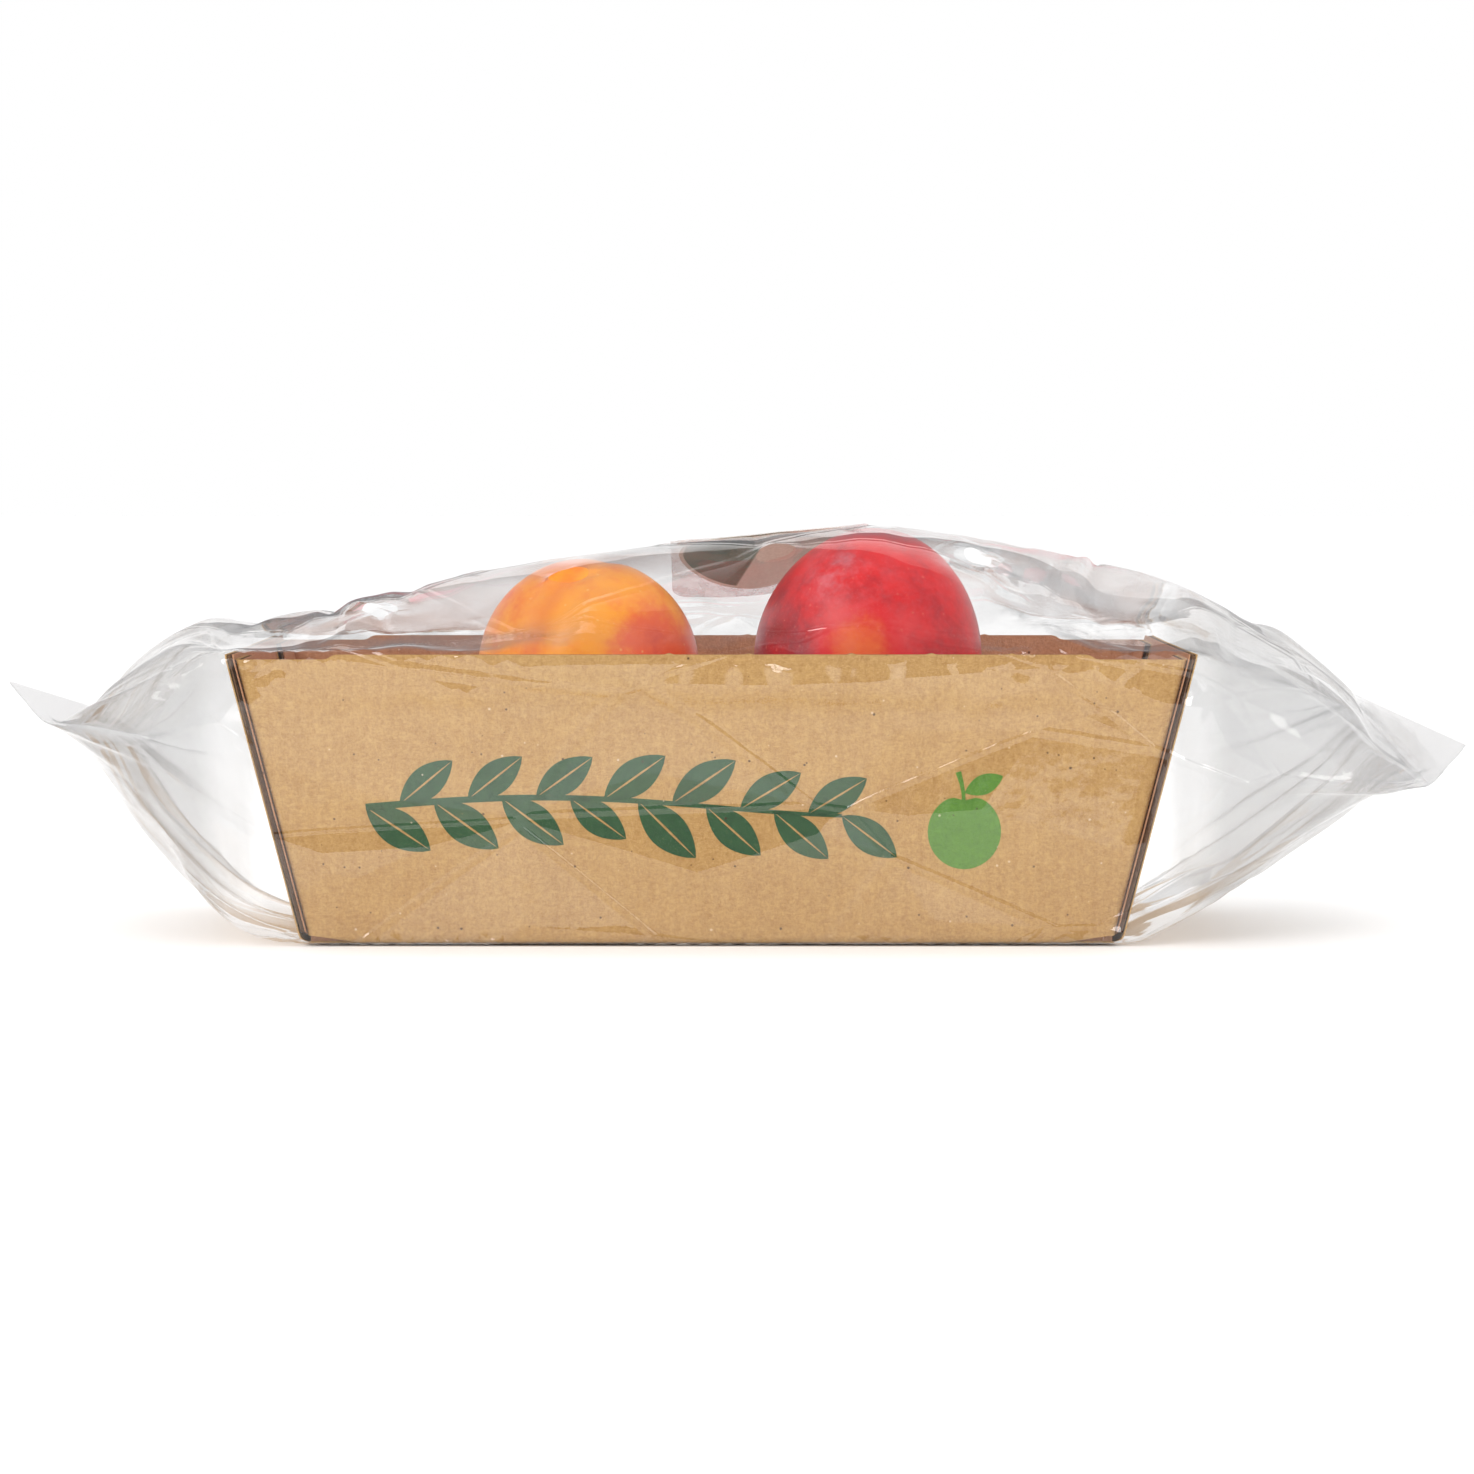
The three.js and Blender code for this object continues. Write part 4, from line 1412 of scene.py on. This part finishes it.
# %% Finish the film's mesh
film = add_object("film_bag", film_points, film_faces, 24)
flat_map = film.data.uv_layers.new(name="flat")
loop_points = np.empty(len(film.data.loops), dtype=np.int32)
film.data.loops.foreach_get("vertex_index", loop_points)
flat_uv = film_flat[loop_points]
wraps = flat_uv.reshape(-1, 3, 2)
crosses = np.ptp(wraps[:, :, 1], axis=1) > GIRTH / 2
wraps[crosses, :, 1] += np.where(wraps[crosses, :, 1] < GIRTH / 2, GIRTH, 0)
flat_map.data.foreach_set("uv", (wraps.reshape(-1) * MM).astype(np.float32))
to_seal = np.maximum(SEAL_WIDTH - film_flat[:, 0], film_flat[:, 0] - (FLAT_LENGTH - SEAL_WIDTH))
store(film, "weld", soft_step(-1.0, 0.4, to_seal))
# the film past the tray's ends, where extra grey haze is partly creased film and partly painted
# shade
store(film, "end_haze_and_shade", soft_step(100, 107, np.abs(film_points[:, 0])))
smoother = film.modifiers.new("Smooth", "SUBSURF")
smoother.levels = smoother.render_levels = 1
settle(film)


def keep_clear(points, margin):
    """Moves points that have sunk into the tray out through its nearest side or over its rim."""
    level = np.clip(points[:, 2], 0, TRAY_HEIGHT)
    sunk = np.stack(
        [
            half_length(level) + margin - np.abs(points[:, 0]),
            half_depth(level) + margin - np.abs(points[:, 1]),
            TRAY_HEIGHT + margin - points[:, 2],
        ],
        axis=1,
    )
    inside = (sunk > 0).all(axis=1) & (points[:, 2] > UNDERSIDE)
    nearest = np.argmin(sunk, axis=1)
    for axis in range(3):
        here = inside & (nearest == axis)
        outward = np.where(points[here, axis] < 0, -1, 1)
        points[here, axis] += outward * sunk[here, axis]
    return points, int(inside.sum())


fine_points = np.empty(len(film.data.vertices) * 3)
film.data.vertices.foreach_get("co", fine_points)
fine_points, moved_out = keep_clear(fine_points.reshape(-1, 3) / MM, 0.15)
film.data.vertices.foreach_set("co", (fine_points * MM).ravel())
film.data.update()
print("points moved out of the tray:", moved_out)
print("film:", len(film.data.polygons), "faces")

# %% [markdown]
# Clear film 30 microns thick is seen only by what it mirrors and by a trace of haze. Both of its
# faces mirror, so one sheet throws back 8 percent of the light square on, and far more at a
# glancing angle. Glass would bend light, which film this thin does not. So the shader is a white
# mirror whose Alpha is the share of light that the sheet stops, from the facing angle, and whose
# Metallic is the mirrored part of that share. What is left of it is the haze, which is darker than
# white because it also scatters light onward. The gathered ends are hazier than the rest: creased
# film is hazier, and this grey haze there is also painted shade that greys the film at both ends.
# Film that was once folded keeps flat facets with sharp creases between them, far finer than the
# simulation's mesh. A Voronoi pattern gives both: its distance to an edge is a set of sloping
# facets, and a narrow ridge stands on each edge.

# %% Mix the film
RIB_PITCH = 0.0011
RELIEF_UNIT = 0.0001
FACET_HEIGHT = 150.0
CREASE_HEIGHT = 7.0
CREASE_WIDTH = 0.025
film_material, tree, shader = new_material(
    "Clear film",
    Roughness=0.06,
    Specular_IOR_Level=0.0,
)
facing = add_node(tree, "ShaderNodeLayerWeight", {"Blend": 0.5}).outputs["Facing"]
glance = add_math(tree, "POWER", facing, 5.0)
one_face = add_math(tree, "MULTIPLY_ADD", glance, 0.96, 0.04)
mirror = add_math(
    tree,
    "DIVIDE",
    add_math(tree, "MULTIPLY", one_face, 2.0),
    add_math(tree, "ADD", one_face, 1.0),
)
film_uv = add_node(tree, "ShaderNodeUVMap", uv_map="flat").outputs[0]
cloud = add_node(
    tree, "ShaderNodeTexNoise", {"Vector": film_uv, "Scale": 45.0, "Detail": 4.0}
).outputs["Fac"]
weld = read_attribute(tree, "weld")
haze_and_shade = add_math(tree, "MULTIPLY_ADD", cloud, 0.016, 0.0)
# past the tray's ends much more grey haze: partly the haze of creased film, partly painted shade
haze_and_shade = add_math(tree, "MULTIPLY_ADD", read_attribute(tree, "end_haze_and_shade"), 0.3, haze_and_shade)
haze_and_shade = add_math(tree, "MULTIPLY_ADD", weld, -0.24, haze_and_shade)
both = add_math(tree, "ADD", mirror, haze_and_shade)
mirrored_part = add_math(tree, "DIVIDE", mirror, both)
tree.links.new(mirrored_part, shader.inputs["Metallic"])
film_colour = add_mix(tree, mirrored_part, (0.25, 0.25, 0.25, 1), (1, 1, 1, 1))
tree.links.new(film_colour, shader.inputs["Base Color"])
stopped = add_math(tree, "SUBTRACT", both, add_math(tree, "MULTIPLY", mirror, haze_and_shade))
tree.links.new(stopped, shader.inputs["Alpha"])
flat_place = add_node(tree, "ShaderNodeSeparateXYZ", {0: film_uv})
rib_turns = add_math(tree, "MULTIPLY", flat_place.outputs[1], 2 * math.pi / RIB_PITCH)
ribs = add_math(tree, "SINE", rib_turns)
ribs = add_math(tree, "MULTIPLY", ribs, weld)
ripple = add_node(
    tree, "ShaderNodeTexNoise", {"Vector": film_uv, "Scale": 160.0, "Detail": 2.0}
).outputs["Fac"]
relief = add_math(tree, "MULTIPLY_ADD", ripple, 0.6, add_math(tree, "MULTIPLY", ribs, 0.5))
slanted = add_node(
    tree, "ShaderNodeMapping", {"Vector": film_uv, "Rotation": (0, 0, 0.65), "Scale": (15, 32, 1)}
).outputs[0]
to_crease = add_node(
    tree, "ShaderNodeTexVoronoi", {"Vector": slanted, "Scale": 1.0}, feature="DISTANCE_TO_EDGE"
).outputs["Distance"]
loose = add_math(tree, "SUBTRACT", 1.0, weld)
facets = add_math(tree, "MULTIPLY", to_crease, FACET_HEIGHT)
on_crease = add_ramp(tree, to_crease, 0.0, CREASE_WIDTH, 1.0, 0.0)
crease = add_math(tree, "MULTIPLY", on_crease, CREASE_HEIGHT)
relief = add_math(tree, "MULTIPLY_ADD", add_math(tree, "ADD", facets, crease), loose, relief)
add_bump(tree, shader, relief, RELIEF_UNIT)
film.visible_shadow = False  # film this clear throws no shadow worth tracing
finish_piece(film, film_material, ["bag"])

# %% [markdown]
# ## The stickers
# A round paper label and a clear strip with round corners are stuck on the film over the fruit.
# Each is a sheet of rings from its middle to its border, dropped on the film from above and eased
# a little, because paper does not follow every small fold. The label has two plain fields of
# colour, and a faint glow stands for the light that comes through it from above. The strip is
# clear, a little milky, and holds the label's edge down.

# %% Lay a sticker on the film
top_points = fine_points[fine_points[:, 2] > TRAY_HEIGHT + 2]


def film_top(x, y):
    """The film's height at a place, from a small plane through its points, also over a hole."""
    near_by = top_points[np.hypot(top_points[:, 0] - x, top_points[:, 1] - y) < 7]
    weight = np.exp(-(((near_by[:, 0] - x) ** 2 + (near_by[:, 1] - y) ** 2) / 2.2**2))
    slope = np.stack([np.ones(len(near_by)), near_by[:, 0] - x, near_by[:, 1] - y], axis=1)
    root = np.sqrt(weight)
    fit = np.linalg.lstsq(slope * root[:, None], near_by[:, 2] * root, rcond=None)[0]
    return float(fit[0])


def laid_sheet(name, centre, outline, thickness, lift, rings=14):
    """A thin closed sheet laid on the film. outline is a list of x and y from the centre."""
    outline = np.asarray(outline)
    shares = np.linspace(0, 1, rings + 1)[1:]
    plan = np.concatenate([[[0, 0]]] + [outline * s for s in shares]) + np.array(centre)
    top = np.array([film_top(x, y) for x, y in plan])
    around = len(outline)
    lower = np.stack([plan[:, 0], plan[:, 1], top + lift], axis=1)
    upper = lower + [0, 0, thickness]
    corner = np.arange(rings * around).reshape(rings, around) + 1
    nxt = np.roll(corner, -1, 1)
    faces = [[0, int(a), int(b)] for a, b in zip(corner[0], nxt[0])]
    for r in range(rings - 1):
        faces += [
            [int(a), int(c), int(d), int(b)]
            for a, b, c, d in zip(corner[r], nxt[r], corner[r + 1], nxt[r + 1])
        ]
    count = len(plan)
    sides = [
        [int(a), int(a + count), int(b + count), int(b)] for a, b in zip(corner[-1], nxt[-1])
    ]
    flipped = [[i + count for i in f[::-1]] for f in faces]
    obj = add_object(name, np.concatenate([lower, upper]), faces + flipped + sides, 60)
    turn_outward(obj)
    return obj


ROUND_LABEL = {"centre": (12, 20.5), "radius": 19.5}
STRIP = {"centre": (12.3, 20.5), "length": 43, "width": 45, "corner": 4}
angles = np.linspace(0, 2 * math.pi, 97)[:-1]
round_outline = ROUND_LABEL["radius"] * np.stack([np.cos(angles), np.sin(angles)], axis=1)
label = laid_sheet("round_label", ROUND_LABEL["centre"], round_outline, 0.12, 0.12)
strip_x, strip_y = STRIP["length"] / 2 - STRIP["corner"], STRIP["width"] / 2 - STRIP["corner"]
quarter = np.linspace(0, math.pi / 2, 9)
strip_outline = []
for corner_x, corner_y, start in (
    (strip_x, -strip_y, -math.pi / 2),
    (strip_x, strip_y, 0),
    (-strip_x, strip_y, math.pi / 2),
    (-strip_x, -strip_y, math.pi),
):
    for turn in quarter + start:
        out_x, out_y = STRIP["corner"] * math.cos(turn), STRIP["corner"] * math.sin(turn)
        strip_outline.append((corner_x + out_x, corner_y + out_y))
strip_outline = np.array(strip_outline)
dense = []
for a, b in zip(strip_outline, np.roll(strip_outline, -1, 0)):
    pieces = max(1, round(float(np.linalg.norm(b - a)) / 2))
    dense += [a + (b - a) * k / pieces for k in range(pieces)]
strip = laid_sheet("clear_strip", STRIP["centre"], dense, 0.08, 0.32)
print("label and strip laid")

# %% Mix the label and the strip
label_material, tree, shader = new_material(
    "Label paper", Specular_IOR_Level=0.3, Emission_Strength=0.22
)
place = add_node(tree, "ShaderNodeTexCoord").outputs["Object"]
mapped = add_node(tree, "ShaderNodeMapping", {"Vector": place, "Location": (-0.012, -0.0205, 0)})
spot = add_node(tree, "ShaderNodeSeparateXYZ", {0: mapped.outputs[0]})
from_middle = add_math(
    tree,
    "SQRT",
    add_math(
        tree,
        "ADD",
        add_math(tree, "POWER", spot.outputs[0], 2.0),
        add_math(tree, "POWER", spot.outputs[1], 2.0),
    ),
)
border = add_ramp(tree, from_middle, 0.0184, 0.0187)
across = add_math(tree, "MULTIPLY_ADD", spot.outputs[1], 0.35, spot.outputs[0])
field = add_ramp(tree, across, -0.0012, -0.0004)
paper_grain = add_node(
    tree, "ShaderNodeTexNoise", {"Vector": place, "Scale": 1400.0, "Detail": 3.0}
).outputs["Fac"]
greens = add_mix(tree, paper_grain, colour(76, 106, 76), colour(92, 122, 90))
creams = add_mix(tree, paper_grain, colour(212, 206, 192), colour(226, 222, 210))
shade = add_mix(tree, field, greens, creams)
shade = add_mix(tree, border, shade, creams)
tree.links.new(shade, shader.inputs["Base Color"])
tree.links.new(shade, shader.inputs["Emission Color"])
tree.links.new(add_ramp(tree, paper_grain, 0.3, 0.7, 0.5, 0.4), shader.inputs["Roughness"])
tree.links.new(add_ramp(tree, paper_grain, 0.3, 0.7, 0.76, 0.82), shader.inputs["Alpha"])
add_bump(tree, shader, paper_grain, 0.00003)
finish_piece(label, label_material, ["sticker_round"])

strip_material, tree, shader = new_material(
    "Strip film", Base_Color=(0.93, 0.93, 0.91, 1), Specular_IOR_Level=0.5
)
place = add_node(tree, "ShaderNodeTexCoord").outputs["Object"]
glue = add_node(
    tree, "ShaderNodeTexNoise", {"Vector": place, "Scale": 320.0, "Detail": 4.0}
).outputs["Fac"]
tree.links.new(add_ramp(tree, glue, 0.3, 0.7, 0.22, 0.34), shader.inputs["Alpha"])
tree.links.new(add_ramp(tree, glue, 0.3, 0.7, 0.16, 0.28), shader.inputs["Roughness"])
add_bump(tree, shader, glue, 0.00004)
finish_piece(strip, strip_material, ["sticker_strip"])

# %% [markdown]
# ## The table and the light
# The table is a plain pale sheet and fades into a white room. Film shows what it mirrors, so the
# room matters: the camera sees white, but the film mirrors a bright wall behind the pack, a dark
# ceiling, and a dark room with two pale panels in front of it. Those tones draw the film over the
# white behind it, and leave the fruit in front clear. The soft box overhead is left out of what
# is mirrored for the same reason.

# %% Make the table
floor_mesh = bpy.data.meshes.new("table")
floor_mesh.from_pydata(
    [(-4, -3, -0.0003), (4, -3, -0.0003), (4, 8, -0.0003), (-4, 8, -0.0003)], [], [(0, 1, 2, 3)]
)
floor = bpy.data.objects.new("table", floor_mesh)
bpy.context.scene.collection.objects.link(floor)
floor_material, tree, shader = new_material(
    "Pale table", Base_Color=(0.97, 0.97, 0.97, 1), Specular_IOR_Level=0.0
)
place = add_node(tree, "ShaderNodeTexCoord").outputs["Object"]
even = add_node(tree, "ShaderNodeTexNoise", {"Vector": place, "Scale": 2.0}).outputs["Fac"]
tree.links.new(add_ramp(tree, even, 0.0, 1.0, 0.85, 0.95), shader.inputs["Roughness"])
floor.data.materials.append(floor_material)
print("table ready")

# %% Light the room
world = bpy.data.worlds.new("Room")
world.use_nodes = True
bpy.context.scene.world = world
tree = world.node_tree
room = tree.nodes["Background"]
paths = add_node(tree, "ShaderNodeLightPath").outputs
direction = add_node(tree, "ShaderNodeTexCoord").outputs["Generated"]
sideways, backward, upward = add_node(tree, "ShaderNodeSeparateXYZ", {0: direction}).outputs
bright_wall, dark_ceiling = (1.0, 0.99, 0.99, 1), (0.22, 0.22, 0.23, 1)
mirrored = add_mix(tree, add_ramp(tree, upward, 0.2, 0.7), bright_wall, dark_ceiling)
left_panel = add_ramp(tree, sideways, -0.24, -0.34)
right_panel = add_ramp(tree, sideways, 0.42, 0.5)
panels = add_math(tree, "MAXIMUM", left_panel, add_math(tree, "MULTIPLY", right_panel, 0.6))
panels = add_math(tree, "MULTIPLY", panels, add_ramp(tree, upward, -0.16, -0.06))
panels = add_math(tree, "MULTIPLY", panels, add_ramp(tree, upward, 0.62, 0.5))
front = add_mix(tree, panels, (0.13, 0.13, 0.14, 1), (1.3, 1.27, 1.26, 1))
mirrored = add_mix(tree, add_ramp(tree, backward, -0.3, 0.2), front, mirrored)
room_colour = add_mix(tree, paths["Is Diffuse Ray"], mirrored, (1.08, 1.08, 1.08, 1))
room_colour = add_mix(tree, paths["Is Camera Ray"], room_colour, (1, 1, 1, 1))
tree.links.new(room_colour, room.inputs["Color"])


def soft_box(name, place, aim, size, power, tint=(1, 1, 1)):
    """A soft box that faces the pack."""
    data = bpy.data.lights.new(name, "AREA")
    data.shape = "RECTANGLE"
    data.size, data.size_y = size
    data.energy = power
    data.color = tint
    lamp = bpy.data.objects.new(name, data)
    bpy.context.scene.collection.objects.link(lamp)
    lamp.location = place
    direction = Vector(aim) - Vector(place)
    lamp.rotation_euler = direction.to_track_quat("-Z", "Y").to_euler()
    return lamp


soft_box("Key", (-0.75, -0.85, 0.95), (0, 0, 0.03), (0.7, 0.5), 6, (1, 0.97, 0.96))
soft_box("Fill", (0.9, -1.0, 0.7), (0, 0, 0.04), (0.8, 0.8), 2.5)
top_box = soft_box("Top", (0.0, 0.25, 1.5), (0, 0, 0), (1.6, 1.2), 3)
top_box.visible_glossy = False
view = bpy.context.scene.view_settings
view.view_transform = "Standard"
view.look = "None"
